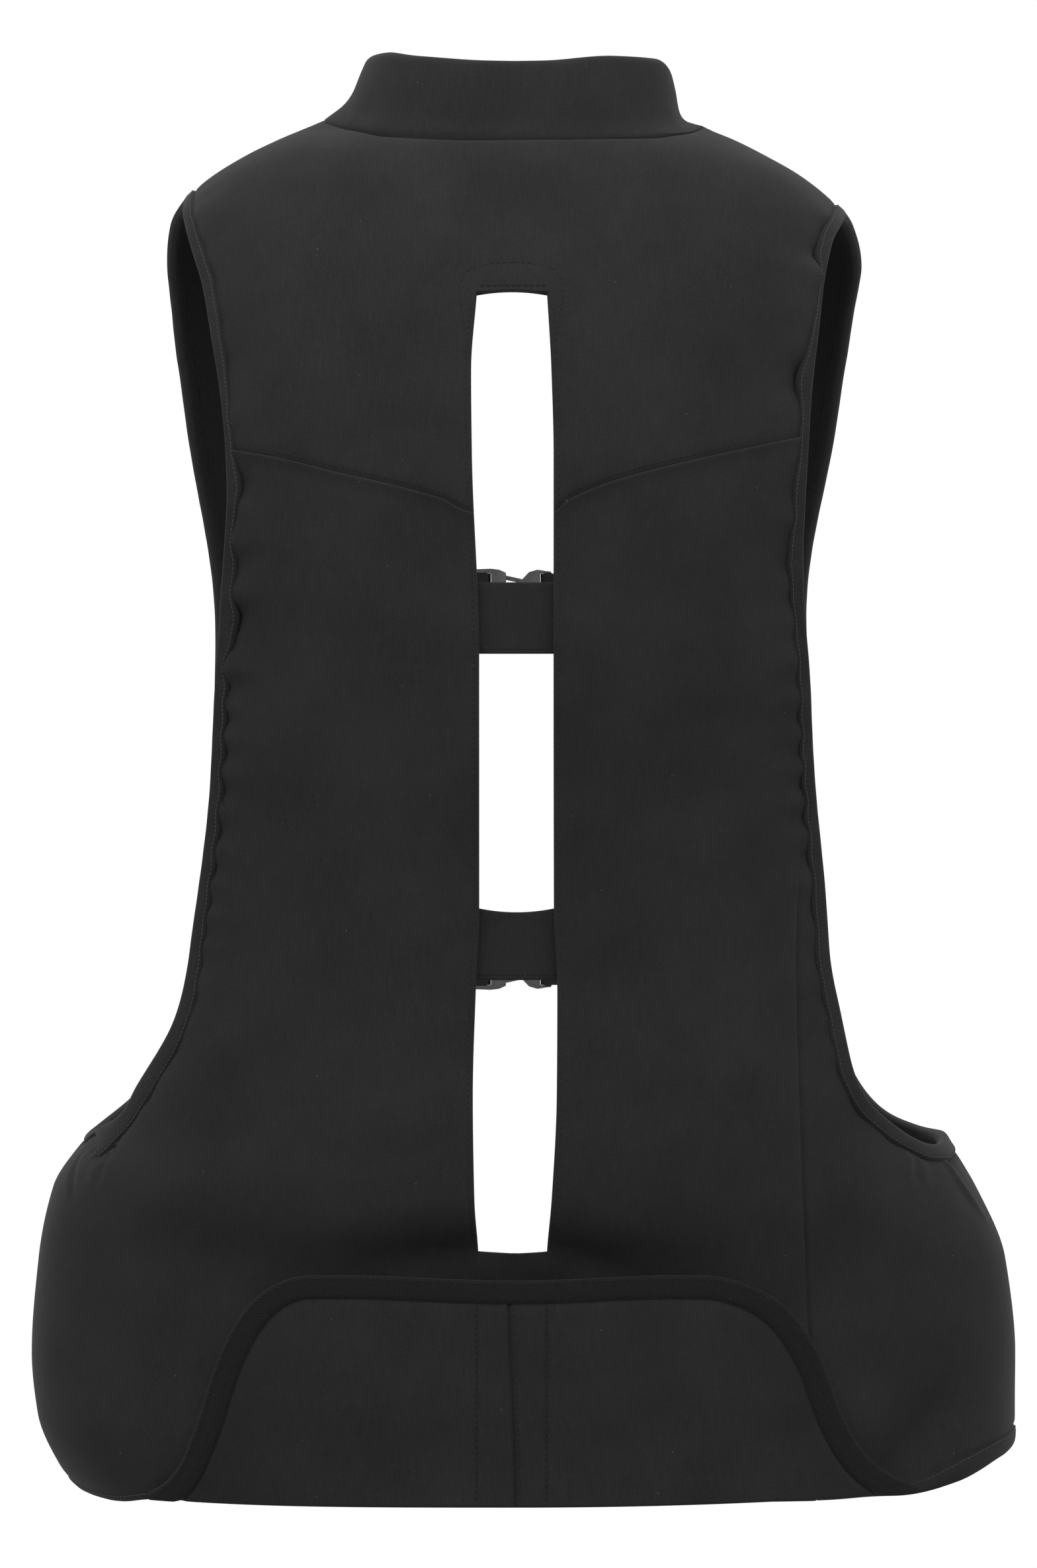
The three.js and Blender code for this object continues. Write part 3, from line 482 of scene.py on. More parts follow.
def rolled(distance, radius):
    """Drop of a rounded edge: a quarter circle of the radius that ends at distance 0."""
    t = 1 - np.clip(distance / radius, 0, 1)
    return radius * (1 - np.sqrt(np.maximum(1 - t * t, 0)))


def nearest(points, line):
    """Distance of points to the nearest stretch of a line, and the run along the line there."""
    flat = points.reshape(-1, points.shape[-1])
    square = (flat**2).sum(1)[:, None] + (line**2).sum(1)[None] - 2 * flat @ line.T
    i = np.clip(square.argmin(1), 1, len(line) - 2)
    ahead = (line[i + 1] - line[i - 1]) / 2
    off = flat - line[i]
    share = np.clip((off * ahead).sum(1) / (ahead**2).sum(1), -1, 1)
    distance = np.linalg.norm(off - share[:, None] * ahead, axis=1)
    run = run_of(line)[i] + share * np.linalg.norm(ahead, axis=1)
    return distance.reshape(points.shape[:-1]), run.reshape(points.shape[:-1])


def arm_frame(side):
    """Places round a side opening's edge and the direction on the cloth away from the hole."""
    rows, sign = ARM_EDGE[side], SIDES[side]
    turn = place_at(sign * rows["x"], rows["z"], rows["front"] > 0)[:, 0]
    edge = smooth_line(pair(turn * TURN_STRETCH, rows["z"]), 480, closed=True)
    places = edge / [TURN_STRETCH, 1]
    points = form(places)
    ahead = unit(np.roll(points, -1, 0) - np.roll(points, 1, 0))
    return places, sign * np.cross(ahead, form_normal(places))


def arm_inset(side):
    """The line on the cloth under a side opening's binding."""
    places, outward = arm_frame(side)
    return moved(places, outward * UNDER_BINDING)


def ripple(run, length, seed):
    """Uneven waves along a sewn edge: a sine whose phase and height drift, stilled at the line's two ends."""
    drift = 2.1 * np.sin(run / 47 + seed) + 1.2 * np.sin(run / 19.3 + 2 * seed)
    height = 0.6 + 0.4 * np.sin(run / 83 + 3 * seed)
    still = smoothstep(0, 30, run) * smoothstep(0, 30, length - run)
    return height * np.sin(run / 2.9 + drift) * still


def pucker_reach(z):
    """How strongly the binding puckers: most beside the shoulder blades."""
    return 0.35 + 0.65 * smoothstep(-400, -300, z) * (1 - smoothstep(-75, -35, z))


def above_hip(z):
    return smoothstep(-455, -425, z)


def binding_width(points, side):
    """Width of an opening's binding: its table on the back, plain on the front, with its local changes."""
    back = smoothstep(-20, 20, -points[:, 1])
    width = BINDING["width"] * (1 - back) + sample(BINDING_WIDTH[side], "z", "width", points[:, 2]) * back
    spots = form(place_at(BINDING_LOCAL["x"], BINDING_LOCAL["z"]))
    away = np.linalg.norm(points[:, None] - spots, axis=-1)
    more = (BINDING_LOCAL["more"] * bump(away, BINDING_LOCAL["reach"])).sum(-1)
    return np.maximum(width + more, BINDING["least"])


def arm_seam(side):
    """Round an opening: places on its edge, the way off it, the run, the binding's ripples and its width."""
    places, outward = arm_frame(side)
    points = form(places)
    run = run_of(points)
    ripples = ripple(run, run[-1], SIDES[side]) * pucker_reach(points[:, 2])
    width = binding_width(points, side)
    reach = 27
    kernel = bump(np.arange(-reach, reach + 1), 11)
    slow = np.convolve(np.pad(width, reach, mode="wrap"), kernel / kernel.sum(), "valid")
    wave = np.clip((width - slow) / 1.3, -1, 1) * above_hip(points[:, 2]) + 0.5 * ripples
    return places, outward, run, wave, width + 0.5 * ripples


def binding_proud(side, z):
    """How far an opening's binding stands over the cloth: less at the left hip, where it lies flat."""
    above = above_hip(z)
    return HIP_PROUD[side] * (1 - above) + BINDING["proud"] * above


def arm_pucker(points, side, height):
    """Beside a binding's sewn line, bulges that fade slowly and dents that fade fast; under it, a dip."""
    bulge_fade, dent_fade, groove_fade = 14, 6, 2.5
    places, outward, _, swell, width = arm_seam(side)
    line = form(moved(places, outward * width[:, None]))
    _, run = nearest(points, line)
    stations = run_of(line)
    wave = np.interp(run, stations, swell)
    i = np.clip(np.searchsorted(stations, run), 0, len(line) - 1)
    past = ((points - line[i]) * outward[i]).sum(-1)
    beyond = np.maximum(past, 0)
    bulge = np.maximum(-wave, 0) * np.exp(-beyond / bulge_fade)
    dent = 1.8 * np.maximum(wave, 0) * np.exp(-beyond / dent_fade) + 0.4 * np.exp(-beyond / groove_fade)
    tuck = 0.5 + binding_proud(side, points[..., 2])
    return height * (bulge - dent) - tuck * smoothstep(0, -2, past)


def facing_line():
    return smooth_line(pair(FACING["x"], FACING["z"]), 120)


def slot_lift(x, z):
    """A rolled slot edge, with grooves under its stitch row and under the facing's stitches."""
    aside = np.maximum(slot_x(z, "left") - x, x - slot_x(z, "right"))
    above = np.maximum(z - SLOT_TOP, SLOT_BOTTOM - z)
    distance = np.hypot(np.maximum(aside, 0), np.maximum(above, 0))
    from_facing, _ = nearest(pair(x, z), facing_line())
    return relief("slot_row", distance) + relief("facing_row", from_facing) - rolled(distance, 1.3)


def yoke_lift(x, z, is_yoke):
    """The lower panel's folded edge stands over the yoke, whose stitch row runs beside it."""
    off = z - yoke_seam_z(x)
    if is_yoke:
        return relief("under_panel_edge", off) + relief("yoke_row", off)
    return relief("panel_edge", off) - rolled(np.maximum(-off, 0), 0.9)


def wing_seam_lift(x, z):
    """A sewn groove with a soft ridge beside it, plain on the right and faint on the left."""
    off = np.abs(x) - wing_seam_x(z)
    strength = np.where(x > 0, 1.3, 0.15) * smoothstep(-320, -380, z)
    return strength * (relief("wing_ridge", off) + relief("wing_seam", off))


def neck_lift(points):
    """The yoke's upper edge: a groove along the collar seam, and a hollow below the seam's middle."""
    from_neck = np.linalg.norm(points - points[-1:], axis=-1)
    middle = 1 - smoothstep(55, 100, np.abs(points[..., 0]))
    return relief("neck_seam", from_neck) + relief("neck_hollow", from_neck) * middle


def fold_lift(x, z):
    """Soft folds from their table, each a ridge of Gaussian section, over a slow uneven sway."""
    sway = 0.35 * np.sin(x / 31 + z / 83) * np.sin(z / 57 - x / 90) + 0.2 * np.sin(x / 17 - z / 41)
    lie = np.radians(FOLDS["lie"])
    dx, dz = x[..., None] - FOLDS["x"], z[..., None] - FOLDS["z"]
    ahead = (dx * np.cos(lie) + dz * np.sin(lie)) / FOLDS["along"]
    aside = (dz * np.cos(lie) - dx * np.sin(lie)) / FOLDS["across"]
    return sway + (FOLDS["height"] * np.exp(-(ahead**2) - aside**2)).sum(-1)


def crease_lift(points):
    """Creases by distance from their lines: a groove between soft lips, or a ridge with a drop beyond it."""
    lift, drop_end, drop_fade = np.zeros(points.shape[:-1]), 9, 40
    for crease in CREASES:
        flat = smooth_line(np.array(crease["path"], float), 60)
        line = form(laid(flat))
        distance, run = nearest(points, line)
        share = run / run_of(line)[-1]
        fade = smoothstep(0, 0.25, share) * smoothstep(0, 0.45, 1 - share)
        edge_x = np.interp(-points[..., 2], -flat[:, 1], flat[:, 0])
        is_beyond = (np.abs(points[..., 0]) > np.abs(edge_x)) & (points[..., 0] * flat[0, 0] > 0)
        past = np.where(is_beyond, distance, -distance)
        drop = smoothstep(-2, drop_end, past) * np.exp(-np.maximum(past - drop_end, 0) / drop_fade)
        lips = relief("crease_lip", distance) * (crease["groove"] > 0)
        groove = crease["groove"] * (lips + relief("crease_line", distance))
        lift += fade * (groove - crease["step"] * drop)
    return lift


def on_back(points):
    """One on the back and none on the front."""
    return smoothstep(0, 12, -points[..., 1])


def drape(points, sizes):
    """Folds and creases of the back and the hips."""
    folds = fold_lift(points[..., 0], points[..., 2]) + crease_lift(points)
    return folds * sizes.mm("fold_height") * on_back(points)


def cloth_lift(places, sides, sizes, is_yoke=False):
    """Height of the finished cloth over the plain form."""
    points = form(places)
    x, z = points[..., 0], points[..., 2]
    seams = slot_lift(x, z) + yoke_lift(x, z, is_yoke) + wing_seam_lift(x, z)
    lift = drape(points, sizes) + seams * on_back(points)
    for side in sides:
        lift += arm_pucker(points, side, sizes.mm("pucker_height"))
    return lift


def wall(outer, inner, cells=None):
    """A closed wall between an outer and an inner grid; missing cells leave a notch."""
    rows, columns = outer.shape[:2]
    count = rows * columns
    number = np.arange(count).reshape(rows, columns)
    if cells is None:
        cells = np.ones((rows - 1, columns - 1), bool)
    corners = (number[:-1, :-1], number[:-1, 1:], number[1:, 1:], number[1:, :-1])
    face = np.stack(corners, -1)[cells]
    padded = np.pad(cells, 1)
    neighbours = (padded[:-2, 1:-1], padded[1:-1, 2:], padded[2:, 1:-1], padded[1:-1, :-2])
    rims = []
    for k, has_next in enumerate(neighbours):
        open_edge = cells & ~has_next
        here, there = corners[k][open_edge], corners[(k + 1) % 4][open_edge]
        rims.append(np.stack([there, here, here + count, there + count], -1))
    rim = np.vstack(rims)
    faces = np.vstack([face, rim, face[:, ::-1] + count])
    is_inside = np.repeat([0, 1], [len(face) + len(rim), len(face)])
    verts = np.vstack([outer.reshape(-1, 3), inner.reshape(-1, 3)])
    return verts, faces, is_inside


def loft(sections, closed):
    """Quads round a run of closed sections, joined into a ring or capped at both ends."""
    count, around = sections.shape[:2]
    number = np.arange(count * around).reshape(count, around)
    near, far = (number, np.roll(number, -1, 0)) if closed else (number[:-1], number[1:])
    faces = np.stack([near, np.roll(near, -1, 1), np.roll(far, -1, 1), far], -1).reshape(-1, 4)
    caps = [] if closed else [number[0][::-1].tolist(), number[-1].tolist()]
    return sections.reshape(-1, 3), faces, caps


def ring_quads(rings):
    """Quads between rings of point numbers."""
    near, far = rings[:-1], rings[1:]
    return np.stack([near, far, np.roll(far, -1, 1), np.roll(near, -1, 1)], -1).reshape(-1, 4)


def grid_uv(points):
    """Lengths along the columns and the rows of a grid, as a flat pattern has them."""
    across = np.linalg.norm(np.diff(points, axis=1), axis=-1).cumsum(1)
    up = np.linalg.norm(np.diff(points, axis=0), axis=-1).cumsum(0)
    u = np.pad(across, ((0, 0), (1, 0)))
    v = np.pad(up, ((1, 0), (0, 0)))
    return pair(u - u.mean(1, keepdims=True), v)


def band_uv(run, sections):
    """Length along a band and length round its section."""
    loop = np.linalg.norm(np.diff(sections, axis=1), axis=-1).cumsum(1)
    return pair(run[:, None], np.pad(loop, ((0, 0), (1, 0))))


def attach(piece, stands_for=None):
    """Puts a finished piece in the scene and on the body, and hides the node it stands for."""
    bpy.context.scene.collection.objects.link(piece)
    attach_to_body(piece, "root")
    if stands_for:
        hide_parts(stands_for)


def add_piece(name, verts, faces, looks, stands_for=None, caps=(), uv=None, inside=None):
    """Makes a mesh object in metres with its faces outwards, smooth up to the sharp angle."""
    used, faces = np.unique(faces, return_inverse=True)
    faces = faces.reshape(-1, 4)
    lookup = np.full(len(verts), -1)
    lookup[used] = np.arange(len(used))
    caps = [[int(lookup[i]) for i in cap] for cap in caps]
    verts = verts[used] * MM
    p, q, r, s = (verts[faces[:, k]] for k in range(4))
    volume = (p * np.cross(q, r)).sum() + (p * np.cross(r, s)).sum()
    if volume < 0:
        faces = faces[:, ::-1]
        caps = [cap[::-1] for cap in caps]
    mesh = bpy.data.meshes.new(name)
    mesh.from_pydata(verts.tolist(), [], faces.tolist() + caps)
    mesh.polygons.foreach_set("use_smooth", np.ones(len(mesh.polygons), bool))
    if inside is not None:
        mesh.polygons.foreach_set("material_index", np.concatenate([inside, np.zeros(len(caps), int)]))
    if uv is not None:
        loops = np.empty(len(mesh.loops), int)
        mesh.loops.foreach_get("vertex_index", loops)
        flat = uv.reshape(-1, 2)[used][loops] * MM
        mesh.uv_layers.new(name="pattern").data.foreach_set("uv", flat.astype(np.float32).ravel())
    for look in looks:
        mesh.materials.append(look_of(look))
    mesh.set_sharp_from_angle(angle=SHARP_ANGLE)
    mesh.update()
    piece = bpy.data.objects.new(name, mesh)
    attach(piece, stands_for)
    return piece


def add_wall(name, outer, inner, looks, stands_for, cells=None):
    """A wall between two grids, with the flat pattern of the outer one on both faces."""
    verts, faces, inside = wall(outer, inner, cells)
    uv = np.vstack([grid_uv(outer).reshape(-1, 2)] * 2)
    inside = inside if len(looks) > 1 else None
    return add_piece(name, verts, faces, looks, stands_for, uv=uv, inside=inside)


def add_band(name, sections, looks, stands_for):
    """An open band lofted over its sections."""
    verts, faces, caps = loft(sections, closed=False)
    uv = band_uv(run_of(sections[:, 0]), sections)
    return add_piece(name, verts, faces, looks, stands_for, caps, uv)


def add_panel(name, places, lift, sizes, inside="lining", cells=None):
    """A padded wall of cloth: the lifted outer face, and a plain lining a thickness behind the form."""
    thickness = sizes.mm("panel_thickness")
    outer = lifted(places, lift)
    inner = lifted(places, np.minimum(lift - 0.6 * thickness, -thickness))
    piece = add_wall(f"{name}_cloth", outer, inner, ["cloth", inside], name, cells)


def signed_power(value, power):
    return np.sign(value) * np.abs(value) ** power


def binding_section(width, wave, proud):
    """A rolled band: a superellipse as wide as the binding and a little thicker than the panel, that waves."""
    power = 0.62
    angle = np.linspace(0, 2 * np.pi, 22, endpoint=False)
    across = width[:, None] / 2 * (1 + signed_power(np.cos(angle), power))
    half = BINDING["panel"] / 2 + proud
    lift = half * signed_power(np.sin(angle), power) - BINDING["panel"] / 2
    sway = -0.4 * wave[:, None] * (across / width[:, None]) * (np.sin(angle) > 0)
    return across, lift + sway


def stitch_row(points, normals, length, width):
    """Spindles along a row: five rings of six points each, ends sunk into the cloth."""
    ahead = unit(np.gradient(points, axis=0))
    aside = np.cross(ahead, normals)
    step = np.array([-0.5, -0.38, 0, 0.38, 0.5]) * length
    radius = np.array([0.25, 0.85, 1, 0.85, 0.25]) * width / 2
    sink = np.array([-0.5, -0.1, 0.1, -0.1, -0.5]) * width
    angle = np.linspace(0, 2 * np.pi, 6, endpoint=False)
    up = sink[:, None] + radius[:, None] * np.sin(angle)
    side = radius[:, None] * np.cos(angle)
    fore = np.broadcast_to(step[:, None], up.shape)
    ways = ((ahead, fore), (normals, up), (aside, side))
    return points[:, None, None] + sum(way[:, None, None] * far[None, :, :, None] for way, far in ways)


def spindle_faces(count):
    """Quads and end caps of a number of stitches, thirty points to a stitch."""
    ring = np.arange(30).reshape(5, 6)
    first, last = ring[0], ring[-1]
    ends = [first[[0, 1, 2, 3]], first[[0, 3, 4, 5]], last[[3, 2, 1, 0]], last[[5, 4, 3, 0]]]
    one = np.vstack([ring_quads(ring), ends])
    return (one[None] + 30 * np.arange(count)[:, None, None]).reshape(-1, 4)


def node(tree, kind, values=None, **settings):
    """A shader node with its settings, and its inputs set to values or linked to sockets."""
    made = tree.nodes.new(kind)
    for key, value in settings.items():
        setattr(made, key, value)
    for key, value in (values or {}).items():
        if isinstance(value, bpy.types.NodeSocket):
            tree.links.new(value, made.inputs[key])
        else:
            made.inputs[key].default_value = value
    return made


def maths(operation, first, second=0.0):
    return node(first.id_data, "ShaderNodeMath", {0: first, 1: second}, operation=operation).outputs[0]


def added(first, second):
    return maths("ADD", first, second)


def times(first, second):
    return maths("MULTIPLY", first, second)


def waves(value, rate):
    """Sine of a value times a rate."""
    return maths("SINE", times(value, rate))


def noise(place, scale, detail=2.0):
    values = {"Vector": place, "Scale": scale, "Detail": detail}
    return node(place.id_data, "ShaderNodeTexNoise", values).outputs["Fac"]


def ranged(value, low, high, to_low, to_high):
    values = {"Value": value, "From Min": low, "From Max": high, "To Min": to_low, "To Max": to_high}
    return node(value.id_data, "ShaderNodeMapRange", values).outputs["Result"]


def mixed(share, first, second):
    values = {0: share, 6: first, 7: second}
    return node(share.id_data, "ShaderNodeMix", values, data_type="RGBA").outputs[2]


def toned(share, colour, dark, light):
    """A colour between a darker and a lighter share of itself."""
    return mixed(share, scaled(colour, dark), scaled(colour, light))


def scaled(colour, share):
    return (*(share * part for part in colour), 1.0)


def axes(vector):
    return node(vector.id_data, "ShaderNodeSeparateXYZ", {"Vector": vector}).outputs


def object_axes(tree):
    return node(tree, "ShaderNodeTexCoord").outputs["Object"]


def pattern_axes(tree):
    """The piece's flat pattern in metres, from its UV map."""
    return node(tree, "ShaderNodeUVMap", uv_map="pattern").outputs["UV"]


def linted(place, weave, colour, scale, share):
    """Pale lint on a weave: middles of a few Voronoi cells, and hairs along level lines of a noise."""
    cells = node(place.id_data, "ShaderNodeTexVoronoi", {"Vector": place, "Scale": scale})
    chosen = axes(cells.outputs["Color"])["X"]
    near = ranged(cells.outputs["Distance"], 0.02, 0.07, 0.7, 0.0)
    specks = times(near, maths("LESS_THAN", chosen, share))
    level = maths("ABSOLUTE", maths("SUBTRACT", noise(place, 110), 0.5))
    hairs = ranged(level, 0.0008, 0.004, 0.25, 0.0)
    patch = ranged(noise(place, 38, 3), 0.66, 0.72, 0.0, 1.0)
    return mixed(added(specks, times(hairs, patch)), weave, colour)


def cloth_look(tree, colours):
    """Softshell: a fine two-tone weave with mottling, slubs along the warp, lint and a soft sheen."""
    place, uv = object_axes(tree), pattern_axes(tree)
    pattern = axes(uv)
    melange = noise(place, 1500, 3)
    slubs = node(tree, "ShaderNodeMapping", {"Vector": uv, "Scale": (900, 70, 1)}).outputs["Vector"]
    tone = added(ranged(melange, 0.3, 0.7, 0, 0.5), ranged(noise(slubs, 1.0), 0.3, 0.7, 0, 0.2))
    tone = added(tone, ranged(noise(place, 24, 4), 0.3, 0.7, 0, 0.4))
    weave = toned(tone, colours.cloth, 0.55, 1.4)
    threads = times(waves(pattern["X"], 9000), waves(pattern["Y"], 9000))
    colour = linted(place, weave, scaled(colours.lint, 1), 150, 0.1)
    return {"Base Color": colour, "relief": added(times(threads, 0.25), melange)}


def grained(colour, scale, detail, dark, light):
    """A shader of one colour, whose tone and relief follow a noise."""
    def make(tree, colours):
        grain = noise(object_axes(tree), scale, detail)
        return {"Base Color": toned(grain, getattr(colours, colour), dark, light), "relief": grain}

    return make


def binding_look(tree, colours):
    """Rolled cloth binding: fine crosswise ribs, and a painted highlight along the free edge."""
    place, pattern = object_axes(tree), axes(pattern_axes(tree))
    grain = noise(place, 1300, 3)
    tone = added(times(grain, 0.6), times(noise(place, 60), 0.4))
    weave = toned(ranged(tone, 0.35, 0.65, 0, 1), colours.binding, 0.7, 1.4)
    # Painted highlight: the binding's colour is lifted 2.2 times in a strip along the rolled free edge, where
    # light catches it.
    from_edge = maths("ABSOLUTE", maths("SUBTRACT", pattern["Y"], BINDING["girth"] / 2 * MM))
    painted_edge_highlight = mixed(ranged(from_edge, 0.0003, 0.0018, 1, 0), weave, scaled(colours.binding, 2.2))
    colour = linted(place, painted_edge_highlight, scaled(colours.lint, 0.8), 190, 0.08)
    return {"Base Color": colour, "relief": added(times(waves(pattern["X"], 8000), 0.2), grain)}


def twill_look(tree, colours):
    """Herringbone tape: slanted ribs whose lean changes from stripe to stripe across the tape."""
    place, pattern = object_axes(tree), axes(pattern_axes(tree))
    stripe, rib_pitch = 0.0028, 0.00115
    slant = added(pattern["X"], maths("PINGPONG", pattern["Y"], stripe))
    rib = waves(slant, 2 * math.pi / rib_pitch)
    grain = noise(place, 1200, 3)
    tone = added(ranged(rib, -1, 1, 0, 0.65), ranged(grain, 0.3, 0.7, 0, 0.35))
    weave = toned(tone, colours.tape, 0.3, 2.0)
    colour = linted(place, weave, scaled(colours.lint, 0.8), 170, 0.12)
    return {"Base Color": colour, "relief": added(rib, grain)}


def webbing_look(tree, colours):
    """Coarse webbing: a basket weave on a dark ground, with painted highlights on the crowns of its threads.
    """
    pattern = axes(pattern_axes(tree))
    run, over, pitch = pattern["X"], pattern["Y"], 0.0019
    rate = 2 * math.pi / pitch
    crowns_and_painted_highlights = times(waves(added(run, over), rate), waves(maths("SUBTRACT", run, over), rate))
    # Painted highlight: the colour runs from 0.45 times the webbing's colour in the ground to 2.4 times on the
    # crowns; the same weave gives the relief.
    return {"Base Color": toned(ranged(crowns_and_painted_highlights, -0.5, 0.9, 0, 1), colours.webbing, 0.45, 2.4), "relief": crowns_and_painted_highlights}


def plastic_and_painted_reflection_look(tree, colours):
    """Moulded plastic with a fine spark-eroded grain, its colour lifted to a pale grey as painted reflection
    of the bright studio.
    """
    place = object_axes(tree)
    grain = noise(place, 1400)
    colour = toned(noise(place, 130), colours.plastic, 0.8, 1.25)
    return {"Base Color": colour, "Roughness": ranged(grain, 0.3, 0.7, 0.24, 0.42), "relief": grain}


# Each look's shader, its finish in the order of the inputs, and the strength and depth of its relief.
FINISH = ("Roughness", "Specular IOR Level", "Sheen Weight", "Sheen Roughness")
LOOKS = {
    "cloth": {"make": cloth_look, "finish": (0.9, 0.15, 0.05, 0.42), "relief": (0.35, 0.0004)},
    "lining": {"make": grained("lining", 600, 3, 0.6, 1.4), "finish": (0.85, 0.1), "relief": (0.2, 0.0003)},
    "binding": {"make": binding_look, "finish": (0.85, 0.16, 0.06, 0.4), "relief": (0.4, 0.0004)},
    "twill": {"make": twill_look, "finish": (0.85, 0.12, 0.05, 0.45), "relief": (0.5, 0.0004)},
    "webbing": {"make": webbing_look, "finish": (0.6, 0.4, 0.05), "relief": (0.8, 0.0005)},
    "thread": {"make": grained("thread", 2500, 1, 0.6, 1.4), "finish": (0.6, 0.3, 0.05)},
    "dark_thread": {"make": grained("thread", 2500, 1, 0.3, 0.7), "finish": (0.6, 0.15, 0.025)},
    "plastic": {"make": plastic_and_painted_reflection_look, "finish": (0.32, 0.5), "relief": (0.15, 0.0002)},
    "floor": {"make": grained("floor", 3, 2, 0.98, 1.0), "finish": (0.7, 0.2)},
}


def look_of(name):
    """A named look, made once from the scene's colours."""
    label = f"vest_{name}"
    if label in bpy.data.materials:
        return bpy.data.materials[label]
    look = bpy.data.materials.new(label)
    look.use_nodes = True
    tree, kind = look.node_tree, LOOKS[name]
    shader = tree.nodes["Principled BSDF"]
    for key, value in zip(FINISH, kind["finish"]):
        shader.inputs[key].default_value = value
    sockets = kind["make"](tree, bpy.context.scene.vest_colours)
    height = sockets.pop("relief")
    if "relief" in kind:
        strength, depth = kind["relief"]
        values = {"Height": height, "Strength": strength, "Distance": depth}
        sockets["Normal"] = node(tree, "ShaderNodeBump", values).outputs["Normal"]
    for key, socket in sockets.items():
        tree.links.new(socket, shader.inputs[key])
    return look


def passing(line, z, front=False):
    """Where an opening's line first passes a height, going down its back or up its front."""
    if not front:
        return int(np.argmax(line[:, 1] < z))
    lowest = int(line[:, 1].argmin())
    return lowest + int(np.argmax(line[lowest:, 1] > z))


def shoulder_side(side, line, start, front):
    """The side of a yoke or front panel: up the opening, then along the shoulder seam to the neck."""
    seam = SIDES[side] * SHOULDER_TURN
    crossing = int(np.argmax(np.abs(line[:, 0]) < SHOULDER_TURN))
    climb = np.vstack([line[start:], line[:crossing]]) if front else line[crossing:start][::-1]
    return np.vstack([climb, straight((seam, line[crossing, 1]), (seam, neck_z(seam)))])


def slot_place(z, side):
    return place_at(slot_x(z, side), z)


def wing_seam_place(z, side, front=False):
    return place_at(SIDES[side] * wing_seam_x(z), z, front)


def neck_path(start, end):
    """Places along the collar seam between two turns."""
    turns = np.linspace(start, end, 60)
    return pair(turns, neck_z(turns))


def yoke_seam(side, line):
    """The yoke seam from the slot to an opening's line, and where along that line it ends."""
    end = int(np.argmax(line[:, 1] < yoke_seam_z(form(line)[:, 0])))
    x = np.linspace(slot_x(YOKE_AT_SLOT_Z, side), form(line[end])[0], 60)
    return place_at(x, yoke_seam_z(x)), end


def between(start, end, shares):
    """Columns of places at shares of the way between two columns."""
    shares = shares[None, :, None]
    return start * (1 - shares) + end * shares


def yoke_half(side, rows, columns):
    """Half of the yoke, from the slot and the middle out to the opening, with its slot share of rows."""
    line = arm_inset(side)
    seam, seam_end = yoke_seam(side, line)
    slot_side = slot_place(np.linspace(seam[0, 1], SLOT_TOP, 40), side)
    beside_middle = 12
    neck_turn = place_at(slot_x(SLOT_TOP, side), neck_z(SIDES[side] * beside_middle))[0]
    over_slot = straight(slot_side[-1], (neck_turn, neck_z(neck_turn)))
    start = np.vstack([slot_side, over_slot[1:]])
    end = np.vstack([seam[-1:], shoulder_side(side, line, seam_end, False)])
    run = run_of(form(start))
    corner = run[len(slot_side) - 1] / run[-1]
    low = edged(rows[0], run[-1] * corner)[:-1] * corner
    high = corner + edged(rows[1], run[-1] * (1 - corner)) * (1 - corner)
    v = np.concatenate([low, high])
    patch = coons(seam, neck_path(neck_turn, end[-1, 0]), start, end, edged(columns, 130), v)
    return patch, int(np.argmin(np.abs(v - corner)))


def yoke_grid():
    """The yoke's two halves and the stretch over the slot as one grid, with the slot's cells missing."""
    rows, columns, middle, slot_arch, fade_rows = (44, 36), 62, 16, 1.6, 12
    left, slot_rows = yoke_half("left", rows, columns)
    right, _ = yoke_half("right", rows, columns)
    shares = np.linspace(0, 1, middle + 1)[1:-1]
    bridge = between(left[:, :1], right[:, :1], shares)
    bridge[-1, :, 1] = neck_z(bridge[-1, :, 0])
    above = np.arange(len(bridge)) - slot_rows
    fade = np.clip(1 - above / fade_rows, 0, 1) * (above >= 0)
    bridge[..., 1] += fade[:, None] * slot_arch * (1 - (2 * shares - 1) ** 2)
    places = np.concatenate([left[:, ::-1], bridge, right], axis=1)
    cells = np.ones((places.shape[0] - 1, places.shape[1] - 1), bool)
    first = left.shape[1] - 1
    cells[:slot_rows, first:first + middle] = False
    return places, cells


def back_panel_grid(side):
    """One side of the back: beside the slot, with the strip under the slot that meets the other side."""
    rows, columns, strip = (30, 118), 54, 8
    line = arm_inset(side)
    seam, seam_end = yoke_seam(side, line)
    wing = wing_seam_place(np.linspace(BACK_FOOT_Z, WING_SEAM_TOP_Z, 80), side)
    low = straight(place_at(slot_x(SLOT_BOTTOM, side), BACK_FOOT_Z), slot_place(SLOT_BOTTOM, side))
    high = slot_place(np.linspace(SLOT_BOTTOM, seam[0, 1], 80), side)
    start = np.vstack([low, high[1:]])
    run = run_of(form(start))
    share = run[len(low) - 1] / run[-1]
    end = np.vstack([wing, line[seam_end + 1:passing(line, WING_CORNER_Z)][::-1], seam[-1:]])
    v_low = np.linspace(0, share, rows[0], endpoint=False)
    v = np.concatenate([v_low, share + edged(rows[1], 350) * (1 - share)])
    patch = coons(straight(start[0], end[0]), seam, start, end, edged(columns, 115), v)
    middle = pair(0.0, patch[:, 0, 1])
    middle[rows[0], 1] -= 0.6
    under = between(middle[:, None], patch[:, :1], np.linspace(0, 1, strip, endpoint=False))
    places = np.concatenate([under, patch], axis=1)
    cells = np.ones((places.shape[0] - 1, places.shape[1] - 1), bool)
    cells[rows[0]:, :strip] = False
    return places, cells


